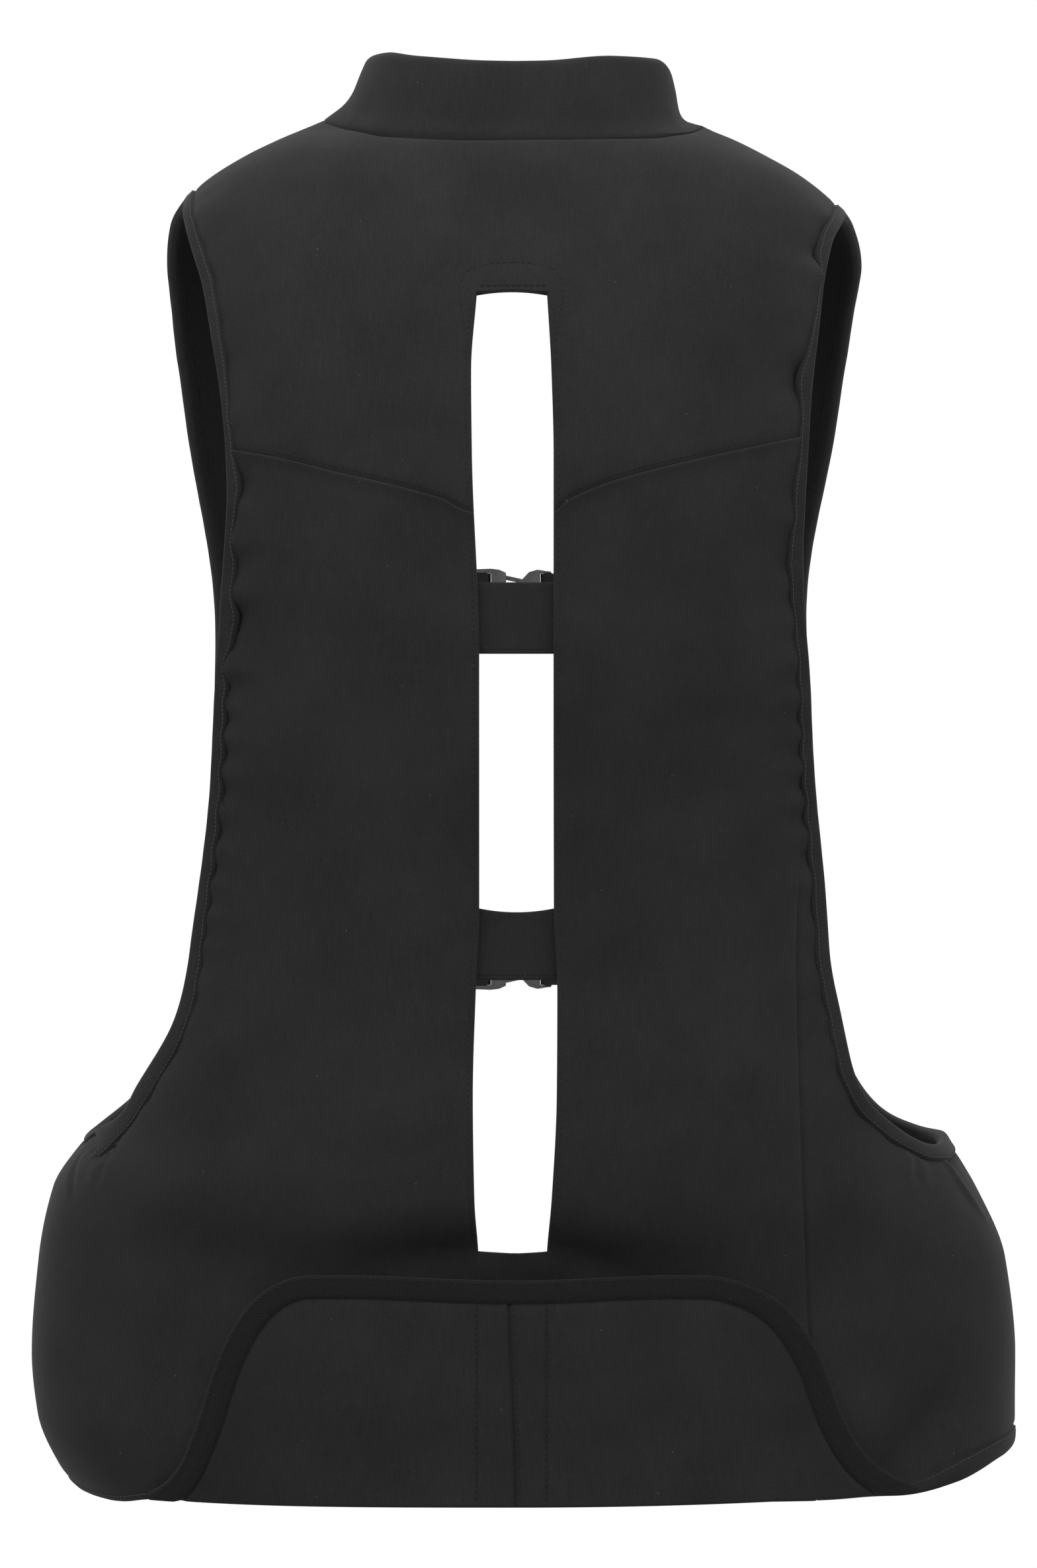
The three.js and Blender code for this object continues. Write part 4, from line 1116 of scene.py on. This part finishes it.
def wing_grid(side):
    """A hip wing: round the side below the opening, from its back seam to its front seam."""
    rows, columns = 110, 260
    line = arm_inset(side)
    top = line[passing(line, WING_CORNER_Z):passing(line, WING_CORNER_Z, True)]

    def hem_edge(turn):
        return hem_z(turn) + hem_width(turn) - UNDER_BINDING

    def seam_up(front, corner):
        foot_turn = wing_seam_place(WING_FOOT_Z, side, front)[0]
        z = np.linspace(hem_edge(foot_turn), WING_SEAM_TOP_Z, 60)
        return np.vstack([wing_seam_place(z, side, front), corner])

    start, end = seam_up(False, top[0]), seam_up(True, top[-1])
    turns = np.linspace(start[0, 0], end[0, 0], 120)
    hem = pair(turns, hem_edge(turns))
    return coons(hem, top, start, end, edged(columns, 400), edged(rows, 170))


def front_panel_grid(side):
    """A plain front panel, from the shoulder seam to the hem beside the open middle."""
    rows, columns, neck_turn, wing_turn = 110, 30, 164, 130
    sign, line = SIDES[side], arm_inset(side)
    corner = passing(line, WING_CORNER_Z, True)
    start = place_at(sign * FRONT_HALF_GAP, np.linspace(FRONT_FOOT_Z, neck_z(sign * neck_turn), 80), True)
    wing = wing_seam_place(np.linspace(hem_z(sign * wing_turn), WING_SEAM_TOP_Z, 60), side, True)
    end = np.vstack([wing, shoulder_side(side, line, corner, True)])
    x = np.linspace(FRONT_HALF_GAP, wing_seam_x(FRONT_FOOT_Z), 40)
    turns = place_at(sign * x, FRONT_FOOT_Z, True)[:, 0]
    hem, neck = pair(turns, hem_z(turns)), neck_path(start[-1, 0], end[-1, 0])
    return coons(hem, neck, start, end, edged(columns, 115), edged(rows, 620))


def hem_turns(side):
    """Turns along a hip wing's hem, from its back seam to its front seam."""
    back, front = SIDES[side] * (wing_seam_x([HEM_BACK_Z, FRONT_FOOT_Z]) + [1.2, 0.1])
    return np.linspace(place_at(back, HEM_BACK_Z)[0], place_at(front, FRONT_FOOT_Z, True)[0], 160)


def softened(rows, width):
    """Rows of a grid averaged with their neighbours along the first axis."""
    reach = 2 * width
    kernel = bump(np.arange(-reach, reach + 1), width)
    flat = rows.reshape(len(rows), -1)
    padded = np.pad(flat, ((reach, reach), (0, 0)), mode="reflect", reflect_type="odd")
    windows = np.lib.stride_tricks.sliding_window_view(padded, 2 * reach + 1, axis=0)
    return (windows @ (kernel / kernel.sum())).reshape(rows.shape)


def collar_sections(thickness):
    """Sections of the stand collar: a flared foot that rolls under, sides that tilt in and a round crest."""
    turn = np.linspace(-COLLAR["end_turn"], COLLAR["end_turn"], 190)
    seam, below, roll, half = neck_z(turn), COLLAR["below"], COLLAR["roll"], thickness / 2
    foot = form(pair(turn, seam))
    outward = unit(foot * [1, 1, 0])
    tall = (collar_top_z(turn) - seam + below)[:, None]
    tuck, arc = np.linspace(0, np.pi / 2, 5), np.linspace(0, np.pi, 13)
    side = np.linspace(0, 1, 18)[1:-1] ** 1.4
    rolled_foot = roll * (1 - np.cos(tuck)) + 0 * tall
    climb = roll + (tall - half - roll) * side
    crest = tall - half + half * np.sin(arc)
    rise = np.concatenate([rolled_foot, climb, crest, climb[:, ::-1], rolled_foot[:, ::-1]], axis=1)
    tucked, over = roll * (1 - np.sin(tuck)), half - half * np.cos(arc)
    inset = np.concatenate([tucked, 0 * side, over, thickness + 0 * side, thickness - tucked[::-1]])
    share = np.clip((rise - below) / (tall - below), 0, 1)
    grip = 5 + 11 * smoothstep(-40, 40, turn)[:, None]
    flare = sample(NECK, "turn", "flare", np.abs(turn))[:, None]
    leant = flare * (1 - (1 - share) ** grip) + collar_tilt(turn)[:, None] * share**1.5
    plan = foot[:, None] - outward[:, None] * leant[..., None]
    plan += (softened(plan, 8) - plan) * smoothstep(0.05, 0.5, share)[..., None]
    puff = (0.9 * np.sin(np.pi * share) + relief("collar_puff", rise - below)) * (inset < half)
    points = plan - outward[:, None] * (inset - puff)[..., None]
    points[..., 2] = (seam - below)[:, None] + rise
    return points


def tail_floor_z(x):
    """The bell's lower edge: level in the middle and rising to both feet."""
    return -642 + np.where(x < 0, 3.6 * (x / 172) ** 4, 5.4 * (x / 188) ** 2)


def tail_lift(x, z):
    """How far the bell stands off the back: least at the hem, most along its free upper edge."""
    least, most = 1.7, 11
    stand = least + (most - least) * smoothstep(-640, -540, z)
    return stand + 0.5 * np.sin(x / 23) * smoothstep(-640, -560, z)


def bell_line(inset, count=180):
    """The bell's upper edge, or a line an inset inside it."""
    curve = smooth_line(pair(BELL["x"], BELL["z"]), count)
    ahead = unit(np.gradient(curve, axis=0))
    x, z = curve[:, 0] + ahead[:, 1] * inset, curve[:, 1] - ahead[:, 0] * inset
    return pair(x, np.maximum(z, tail_floor_z(x)))


def above_floor(line, height):
    """The points of a bell line that lie more than a height over the bell's lower edge."""
    return line[line[:, 1] > tail_floor_z(line[:, 0]) + height]


def tail_points(flat, height):
    return lifted(laid(flat), tail_lift(flat[..., 0], flat[..., 1]) + height)


def tail_seam_x(z):
    """The tail's middle seam leans a little."""
    return -3 + 3 * smoothstep(-540, -640, z)


def tail_grid():
    """Flat places of the bell, from its hem up to the tape."""
    edge = above_floor(bell_line(10.5, 640), 0.6)
    u = np.linspace(0, 1, len(edge))
    foot = 0.4 * (edge[0, 0] + (edge[-1, 0] - edge[0, 0]) * u) + 0.6 * edge[:, 0]
    v = edged(34, 95)[:, None, None]
    return pair(foot, tail_floor_z(foot)) * (1 - v) + edge * v


def tail_relief(flat):
    """Grooves of the bell's middle seam and its two stitch rows, and its rolled hem."""
    x, z = flat[..., 0], flat[..., 1]
    seam = x - tail_seam_x(z)
    middle = relief("tail_seam", seam) + relief("tail_ridge", seam)
    rows = relief("tail_row_left", x) + relief("tail_row_right", x)
    from_tape, _ = nearest(flat, bell_line(11.5))
    return middle + rows + relief("tape_edge", from_tape) - rolled(z - tail_floor_z(x), 0.9)


def bridge_grid(bar):
    """Flat places of a bar across the slot, tucked behind both slot edges, and their shares of its height."""
    tuck = 9
    u, v = np.linspace(0, 1, 49)[None], edged(22, 33)[:, None]
    z = bar["bottom"] * (1 - v) + bar["top"] * v
    x = (slot_x(z, "left") - tuck) * (1 - u) + (slot_x(z, "right") + tuck) * u
    return pair(x, z - bar["sag"] * 4 * u * (1 - u) * v), v


def buckle_y(z):
    """How far forward the middle plane of a front buckle lies."""
    return form(place_at(FRONT_HALF_GAP + 1.0, z, True))[1] - 1.45


def strap_grid(side, z, offset):
    """A webbing strap: round the buckle's bar, then flat along the front panel."""
    sign, half_width, off_panel = SIDES[side], 7.5, 1.15
    hook = pair(STRAP_BAR[side] + sign * STRAP_HOOK["out"], buckle_y(z) + STRAP_HOOK["lift"])
    x = sign * (FRONT_HALF_GAP + STRAP_ON_PANEL)
    lines = []
    for height in z + np.linspace(-half_width, half_width, 9):
        on_panel = pair(x, form(place_at(x, height, True))[:, 1] + off_panel)
        path = smooth_line(np.vstack([hook, on_panel]), 90)
        ahead = unit(np.gradient(path, axis=0))
        path = path + offset * pair(-ahead[:, 1], ahead[:, 0])
        lines.append(np.column_stack([path, np.full(len(path), height)]))
    return np.stack(lines)


def length_property(name, description, default):
    return bpy.props.FloatProperty(name=name, description=description, default=default, unit="LENGTH")


def colour_property(name, description, default):
    return bpy.props.FloatVectorProperty(
        name=name, description=description, default=default, size=3, min=0, max=1, subtype="COLOR")


class VestSizes(bpy.types.PropertyGroup):
    panel_thickness: length_property("Panel thickness", "Padded cloth from face to lining", 0.005)
    collar_thickness: length_property("Collar thickness", "Padded collar from face to face", 0.007)
    tape_width: length_property("Tape width", "Herringbone tape on the bell's edge", 0.0115)
    tail_thickness: length_property("Tail thickness", "Bell-shaped lower back piece", 0.003)
    bridge_thickness: length_property("Bar thickness", "Fabric bars across the slot", 0.0022)
    pucker_height: length_property("Pucker height", "Ripples beside the rolled bindings", 0.0023)
    fold_height: length_property("Fold height", "Height of a soft fold of size one", 0.001)
    stitch_length: length_property("Stitch length", "Visible length of one stitch", 0.0021)
    stitch_pitch: length_property("Stitch pitch", "From one stitch to the next", 0.0029)
    stitch_width: length_property("Stitch width", "Thickness of the thread", 0.0006)

    def mm(self, name):
        """A size in millimetres."""
        return getattr(self, name) * 1000


class VestColours(bpy.types.PropertyGroup):
    cloth: colour_property("Cloth", "Black softshell", (0.0145, 0.0146, 0.0145))
    # The panels' lining, its colour lifted above the shell's as painted light for the shaded inside seen
    # through the openings.
    lining: colour_property("Lining", "Inside of the panels", (0.0210, 0.0211, 0.0210))
    binding: colour_property("Binding", "Rolled binding", (0.0120, 0.0121, 0.0120))
    tape: colour_property("Tape", "Herringbone tape", (0.0075, 0.0076, 0.0075))
    webbing: colour_property("Webbing", "Buckle webbing", (0.0190, 0.0191, 0.0190))
    thread: colour_property("Thread", "Sewing thread", (0.0185, 0.0187, 0.0185))
    lint: colour_property("Lint", "Specks of lint", (0.0900, 0.0920, 0.0880))
    # Painted reflection: the buckles' colour is a pale grey standing in for the bright studio reflected in
    # black plastic.
    plastic: colour_property("Plastic", "Buckles", (0.1800, 0.1840, 0.1810))
    floor: colour_property("Floor", "Studio floor", (0.82, 0.82, 0.81))


class VestOperator:
    """What the vest's operators share."""
    bl_options = {"REGISTER", "UNDO"}


class VEST_OT_add_collar(VestOperator, bpy.types.Operator):
    """Padded stand collar"""
    bl_idname = "vest.add_collar"
    bl_label = "Add Collar"

    def execute(self, context):
        sections = collar_sections(context.scene.vest_sizes.mm("collar_thickness"))
        add_band("collar_cloth", sections, ["cloth"], "collar")
        return {"FINISHED"}


class VEST_OT_add_back(VestOperator, bpy.types.Operator):
    """Yoke and the two back panels beside the spine slot"""
    bl_idname = "vest.add_back"
    bl_label = "Add Back"

    def execute(self, context):
        sizes = context.scene.vest_sizes
        places, cells = yoke_grid()
        lift = cloth_lift(places, SIDES, sizes, is_yoke=True) + neck_lift(form(places))
        add_panel("back_yoke", places, lift, sizes, cells=cells)
        for side in SIDES:
            places, cells = back_panel_grid(side)
            seam = relief("back_seam", form(places)[..., 0]) * (places[..., 1] < SLOT_BOTTOM)
            lift = cloth_lift(places, [side], sizes) + seam
            add_panel(f"back_panel_{side}", places, lift, sizes, cells=cells)
        return {"FINISHED"}


class VEST_OT_add_wings(VestOperator, bpy.types.Operator):
    """Rounded hip wings below the side openings"""
    bl_idname = "vest.add_wings"
    bl_label = "Add Hip Wings"

    def execute(self, context):
        sizes = context.scene.vest_sizes
        for side in SIDES:
            places = wing_grid(side)
            turn, z = places[..., 0], places[..., 1]
            groove = HEM_GROOVE[side] * bump(z - hem_z(turn) - hem_width(turn) - 0.5, 1.0)
            lift = cloth_lift(places, [side], sizes) - groove
            add_panel(f"hip_wing_{side}", places, lift, sizes, inside="cloth")
        return {"FINISHED"}


class VEST_OT_add_fronts(VestOperator, bpy.types.Operator):
    """Plain front panels"""
    bl_idname = "vest.add_fronts"
    bl_label = "Add Front Panels"

    def execute(self, context):
        sizes = context.scene.vest_sizes
        for side in SIDES:
            places = front_panel_grid(side)
            edge = rolled(np.abs(form(places)[..., 0]) - FRONT_HALF_GAP, 1.2)
            add_panel(f"front_panel_{side}", places, cloth_lift(places, [side], sizes) - edge, sizes)
        return {"FINISHED"}


class VEST_OT_add_bindings(VestOperator, bpy.types.Operator):
    """Rolled bindings round the side openings and along the hip hems"""
    bl_idname = "vest.add_bindings"
    bl_label = "Add Bindings"

    def execute(self, context):
        for side in SIDES:
            self.add_arm_binding(side)
            self.add_hem_binding(side, context.scene.vest_sizes)
        return {"FINISHED"}

    def add_arm_binding(self, side):
        """The rolled section carried round a side opening's edge."""
        places, outward, run, wave, width = arm_seam(side)
        across, lift = binding_section(width, wave, binding_proud(side, places[:, 1:]))
        rings = np.repeat(places[:, None], across.shape[1], axis=1)
        sections = lifted(moved(rings, outward[:, None] * across[..., None]), lift)
        self.add_roll(f"arm_binding_{side}", sections, run, "binding", closed=True)

    def add_hem_binding(self, side, sizes):
        """The rolled section carried along a hip's hem, over the folds."""
        turn = hem_turns(side)
        run = run_of(form(pair(turn, hem_z(turn))))
        wave = 0.4 * ripple(run, run[-1], 5)
        across, lift = binding_section(hem_width(turn) + wave, wave, HEM_PROUD[side])
        spots = pair(turn[:, None], hem_z(turn)[:, None] + across)
        sections = lifted(spots, lift + drape(form(spots), sizes))
        self.add_roll(f"hem_binding_{side}", sections, run, "cloth", closed=False)

    def add_roll(self, name, sections, run, look, closed):
        """A lofted roll; inside the openings above the hips its under side, which lies in shade, takes the
        lining's lighter colour as painted light.
        """
        verts, faces, caps = loft(sections, closed)
        around = sections.shape[1]
        is_under = np.sin(2 * np.pi * (np.arange(around) + 0.5) / around) < 0
        # Painted light: the under side's faces in the shaded inside above that height get the lining's colour.
        is_painted_under = is_under & (sections[:len(faces) // around, :, 2] > PAINTED_UNDER_ABOVE_Z)
        uv = band_uv(run, sections)
        uv[..., 1] *= BINDING["girth"] / uv[:, -1:, 1]
        inside = is_painted_under.ravel().astype(int)
        add_piece(f"{name}_roll", verts, faces, [look, "lining"], name, caps, uv, inside)


class VEST_OT_add_tail(VestOperator, bpy.types.Operator):
    """Bell-shaped lower back piece and the tape on its edge"""
    bl_idname = "vest.add_tail"
    bl_label = "Add Tail"

    def execute(self, context):
        sizes = context.scene.vest_sizes
        thick = sizes.mm("tail_thickness")
        flat = tail_grid()
        outer, inner = tail_points(flat, thick + tail_relief(flat)), tail_points(flat, 0)
        piece = add_wall("tail_panel_cloth", outer, inner, ["cloth", "lining"], "tail_panel")
        self.add_tape(sizes.mm("tape_width"), thick)
        return {"FINISHED"}

    def add_tape(self, width, thick):
        """A flattened round section carried along the bell's edge."""
        proud = 0.9
        angle = np.linspace(0, 2 * np.pi, 24, endpoint=False)
        insets = width / 2 * (1 - signed_power(np.cos(angle), 0.6))
        heights = thick / 2 + (thick / 2 + proud) * signed_power(np.sin(angle), 0.5)
        lines = [tail_points(bell_line(inset), height) for inset, height in zip(insets, heights)]
        add_band("tail_tape", np.stack(lines, axis=1)[1:-1], ["twill"], "tail_binding")


class VEST_OT_add_bridges(VestOperator, bpy.types.Operator):
    """Fabric bars across the spine slot"""
    bl_idname = "vest.add_bridges"
    bl_label = "Add Bars"

    def execute(self, context):
        sizes = context.scene.vest_sizes
        behind, edge_radius, measured_row = 0.5, 0.9, 11
        face = -sizes.mm("panel_thickness") - behind
        for name, bar in BRIDGES.items():
            flat, v = bridge_grid(bar)
            tall = bar["top"] - bar["bottom"]
            drop = rolled(v * tall, edge_radius) + rolled((1 - v) * tall, edge_radius)
            places = laid(flat)
            outer = lifted(places, face - drop + relief("bar_row", v * tall))
            inner = lifted(places, face - sizes.mm("bridge_thickness"))
            piece = add_wall(f"{name}_cloth", outer, inner, ["cloth"], name)
            width = float(run_of(outer[measured_row])[-1]) * MM
        return {"FINISHED"}


class VEST_OT_add_fastenings(VestOperator, bpy.types.Operator):
    """Webbing straps and side-release buckles of the front fastening"""
    bl_idname = "vest.add_fastenings"
    bl_label = "Add Fastenings"

    def execute(self, context):
        half_thickness = 0.7
        for level, z in FASTENINGS.items():
            for side in SIDES:
                name = f"strap_{level}_{side}"
                outer, inner = (strap_grid(side, z, offset) for offset in (half_thickness, -half_thickness))
                add_wall(f"{name}_webbing", outer, inner, ["webbing"], name)
            for half in ("socket", "plug"):
                self.round_buckle(f"buckle_{level}_{half}")
        return {"FINISHED"}

    def round_buckle(self, name):
        """A copy of the buckle's solid, merged and with its edges rounded."""
        shape = bmesh.new()
        shape.from_mesh(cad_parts[name].data)
        bmesh.ops.remove_doubles(shape, verts=shape.verts, dist=2e-6)
        bmesh.ops.dissolve_limit(shape, angle_limit=math.radians(2), verts=shape.verts, edges=shape.edges)
        mesh = bpy.data.meshes.new(f"{name}_moulding")
        shape.to_mesh(mesh)
        shape.free()
        mesh.materials.append(look_of("plastic"))
        mesh.polygons.foreach_set("use_smooth", np.ones(len(mesh.polygons), bool))
        piece = bpy.data.objects.new(mesh.name, mesh)
        edge = piece.modifiers.new("rounded edges", "BEVEL")
        edge.width = 0.0011
        edge.segments = 3
        edge.limit_method = "ANGLE"
        edge.angle_limit = math.radians(35)
        edge.harden_normals = True
        attach(piece, name)


class VEST_OT_add_stitching(VestOperator, bpy.types.Operator):
    """Rows of stitches on the back, the bindings, the bars and the tail"""
    bl_idname = "vest.add_stitching"
    bl_label = "Add Stitching"

    def execute(self, context):
        self.sizes = context.scene.vest_sizes
        self.pitch = self.sizes.mm("stitch_pitch")
        self.sew("stitching_slot", self.slot_rows(), "dark_thread")
        self.sew("stitching_yoke", self.yoke_rows(), "dark_thread")
        self.sew("stitching_bindings", [*self.arm_rows(), *self.hem_rows()], "thread")
        self.sew("stitching_tail", self.tail_rows(), "dark_thread")
        self.sew("stitching_tape", self.tape_rows(), "dark_thread")
        self.sew("stitching_bars", self.bar_rows(), "dark_thread")
        return {"FINISHED"}

    def sew(self, name, rows, look):
        """All the stitches of some rows as one piece."""
        length, width = self.sizes.mm("stitch_length"), self.sizes.mm("stitch_width")
        stitches = np.concatenate([stitch_row(points, normals, length, width) for points, normals in rows])
        add_piece(name, stitches.reshape(-1, 3), spindle_faces(len(stitches)), [look])

    def on_cloth(self, flat, is_yoke=False):
        """Stitches along a line of x and z on the back."""
        proud = 0.12
        places = laid(spaced(flat, self.pitch))
        return lifted(places, cloth_lift(places, [], self.sizes, is_yoke) + proud), form_normal(places)

    def slot_rows(self):
        """Rows down both slot edges, round the facing and over the slot's top."""
        on_yoke, on_panel = np.linspace(-80, -176, 60), np.linspace(-179, -522, 160)
        for side, sign in SIDES.items():
            for z, is_yoke in ((on_yoke, True), (on_panel, False)):
                yield self.on_cloth(pair(slot_x(z, side) + sign * SLOT_ROW, z), is_yoke)
        yield self.on_cloth(facing_line(), True)
        yield self.on_cloth(pair(np.linspace(-17, 14, 40), SLOT_TOP + 3.4), True)

    def yoke_rows(self):
        """Rows above the yoke seam."""
        for side, sign in SIDES.items():
            x = np.linspace(slot_x(YOKE_AT_SLOT_Z, side) + sign * 2, sign * 128, 80)
            yield self.on_cloth(pair(x, yoke_seam_z(x) + YOKE_ROW), True)

    def arm_rows(self):
        """Rows just inside the sewn edge of the side openings' bindings."""
        inset, sunk = 1.25, 0.18
        for side in SIDES:
            places, outward, _, wave, width = arm_seam(side)
            line = moved(places, outward * (width - inset)[:, None])
            spots = np.column_stack([line, binding_proud(side, line[:, 1]) - sunk - 0.35 * wave])
            even = spaced(np.column_stack([form(line), spots]), self.pitch)[:, 3:]
            yield lifted(even[:, :2], even[:, 2]), form_normal(even[:, :2])

    def hem_rows(self):
        """Rows just inside the upper edge of the hem bindings."""
        inset, proud = 1.1, 0.2
        for side in SIDES:
            turn = hem_turns(side)
            places = pair(turn, hem_z(turn) + hem_width(turn) - inset)
            even = spaced(np.column_stack([form(places), places]), self.pitch)[:, 3:]
            yield lifted(even, proud + drape(form(even), self.sizes)), form_normal(even)

    def on_tail(self, flat, height):
        """Stitches along a line of x and z on the bell, a height over its face."""
        flat = spaced(flat, self.pitch)
        return tail_points(flat, self.sizes.mm("tail_thickness") + height), form_normal(laid(flat))

    def tape_rows(self):
        """A row along the tape's outer edge."""
        yield self.on_tail(above_floor(bell_line(1.7), 2), 0.75)

    def tail_rows(self):
        """Two upright rows and one beside the middle seam."""
        z = np.linspace(-549, -638, 60)
        for x in (TAIL_ROWS["left"], TAIL_ROWS["right"], tail_seam_x(z) + 2.0):
            yield self.on_tail(pair(x, z), 0.1)

    def bar_rows(self):
        """A row along each bar's lower edge."""
        inset, closer, behind = 2.4, 0.85, 0.55
        for bar in BRIDGES.values():
            z = bar["bottom"] + inset
            x = np.linspace(slot_x(z, "left") + 1, slot_x(z, "right") - 1, 30)
            places = laid(spaced(pair(x, z), self.pitch * closer))
            yield lifted(places, -self.sizes.mm("panel_thickness") - behind), form_normal(places)


class VEST_OT_add_stage(VestOperator, bpy.types.Operator):
    """Pale floor, soft studio light and the camera"""
    bl_idname = "vest.add_stage"
    bl_label = "Add Stage"

    def execute(self, context):
        self.add_floor(context.scene)
        self.add_world(context.scene)
        self.add_lamps(context.scene)
        self.add_camera(context.scene)
        return {"FINISHED"}

    def add_floor(self, scene):
        """A round floor below the hem: radius by angle, flat."""
        radius = np.linspace(FLOOR["inner"], FLOOR["outer"], 24)[:, None]
        angle = np.linspace(0, 2 * np.pi, 72, endpoint=False)
        x, y = radius * np.cos(angle), radius * np.sin(angle)
        verts = np.stack([x, y, np.full(x.shape, FLOOR["z"])], -1).reshape(-1, 3)
        number = np.arange(len(verts)).reshape(x.shape)
        mesh = bpy.data.meshes.new("studio_floor")
        mesh.from_pydata(verts.tolist(), [], ring_quads(number).tolist() + [number[0].tolist()])
        mesh.materials.append(look_of("floor"))
        floor = bpy.data.objects.new("studio_floor", mesh)
        scene.collection.objects.link(floor)
        floor.visible_diffuse = False

    def add_world(self, scene):
        """White light all round, a little stronger from above and weaker from below."""
        world = bpy.data.worlds.new("studio")
        world.use_nodes = True
        tree = world.node_tree
        rise = axes(node(tree, "ShaderNodeTexCoord").outputs["Generated"])["Z"]
        strength = times(ranged(rise, 0.1, 1.0, 1.0, 1.2), ranged(rise, -0.25, -0.09, 0.4, 1.0))
        background = tree.nodes["Background"]
        background.inputs["Color"].default_value = (1, 1, 1, 1)
        tree.links.new(strength, background.inputs["Strength"])
        scene.world = world
        scene.view_settings.view_transform = "Standard"

    def add_lamps(self, scene):
        """Soft area lamps, turned towards one spot."""
        for name, lamp in LAMPS.items():
            light = bpy.data.lights.new(name, "AREA")
            light.energy = lamp["power"]
            light.size = lamp["size"]
            holder = bpy.data.objects.new(name, light)
            holder.location = lamp["spot"]
            aim = np.subtract(LAMP_AIM, lamp["spot"])
            pitch = math.atan2(aim[2], math.hypot(aim[0], aim[1]))
            holder.rotation_euler = (math.pi / 2 + pitch, 0, math.atan2(-aim[0], aim[1]))
            scene.collection.objects.link(holder)

    def add_camera(self, scene):
        """A level camera five metres behind the neck, with the photograph's height of view at the back."""
        camera = bpy.data.cameras.new("camera")
        camera.sensor_fit = "VERTICAL"
        camera.sensor_height = CAMERA["sensor"]
        camera.lens = CAMERA["sensor"] * CAMERA["to_back"] / CAMERA["view_height"]
        holder = bpy.data.objects.new("camera", camera)
        holder.location = CAMERA["spot"]
        holder.rotation_euler = (math.pi / 2, 0, 0)
        scene.collection.objects.link(holder)
        scene.camera = holder


class VEST_PT_sidebar(bpy.types.Panel):
    bl_label = "Airbag Vest"
    bl_idname = "VEST_PT_sidebar"
    bl_space_type = "VIEW_3D"
    bl_region_type = "UI"
    bl_category = "Vest"

    def draw(self, context):
        for operator in OPERATORS:
            self.layout.operator(operator.bl_idname)
        for group in (context.scene.vest_sizes, context.scene.vest_colours):
            box = self.layout.box()
            for name in group.bl_rna.properties.keys():
                if name not in ("rna_type", "name"):
                    box.prop(group, name)


OPERATORS = (
    VEST_OT_add_collar,
    VEST_OT_add_back,
    VEST_OT_add_wings,
    VEST_OT_add_fronts,
    VEST_OT_add_bindings,
    VEST_OT_add_tail,
    VEST_OT_add_bridges,
    VEST_OT_add_fastenings,
    VEST_OT_add_stitching,
    VEST_OT_add_stage,
)
CLASSES = (VestSizes, VestColours, *OPERATORS, VEST_PT_sidebar)


def register():
    for cls in CLASSES:
        bpy.utils.register_class(cls)
    bpy.types.Scene.vest_sizes = bpy.props.PointerProperty(type=VestSizes)
    bpy.types.Scene.vest_colours = bpy.props.PointerProperty(type=VestColours)


def unregister():
    del bpy.types.Scene.vest_colours
    del bpy.types.Scene.vest_sizes
    for cls in reversed(CLASSES):
        bpy.utils.unregister_class(cls)


def main():
    register()
    for operator in OPERATORS:
        group, name = operator.bl_idname.split(".")
        getattr(getattr(bpy.ops, group), name)()


if __name__ == "__main__":
    main()
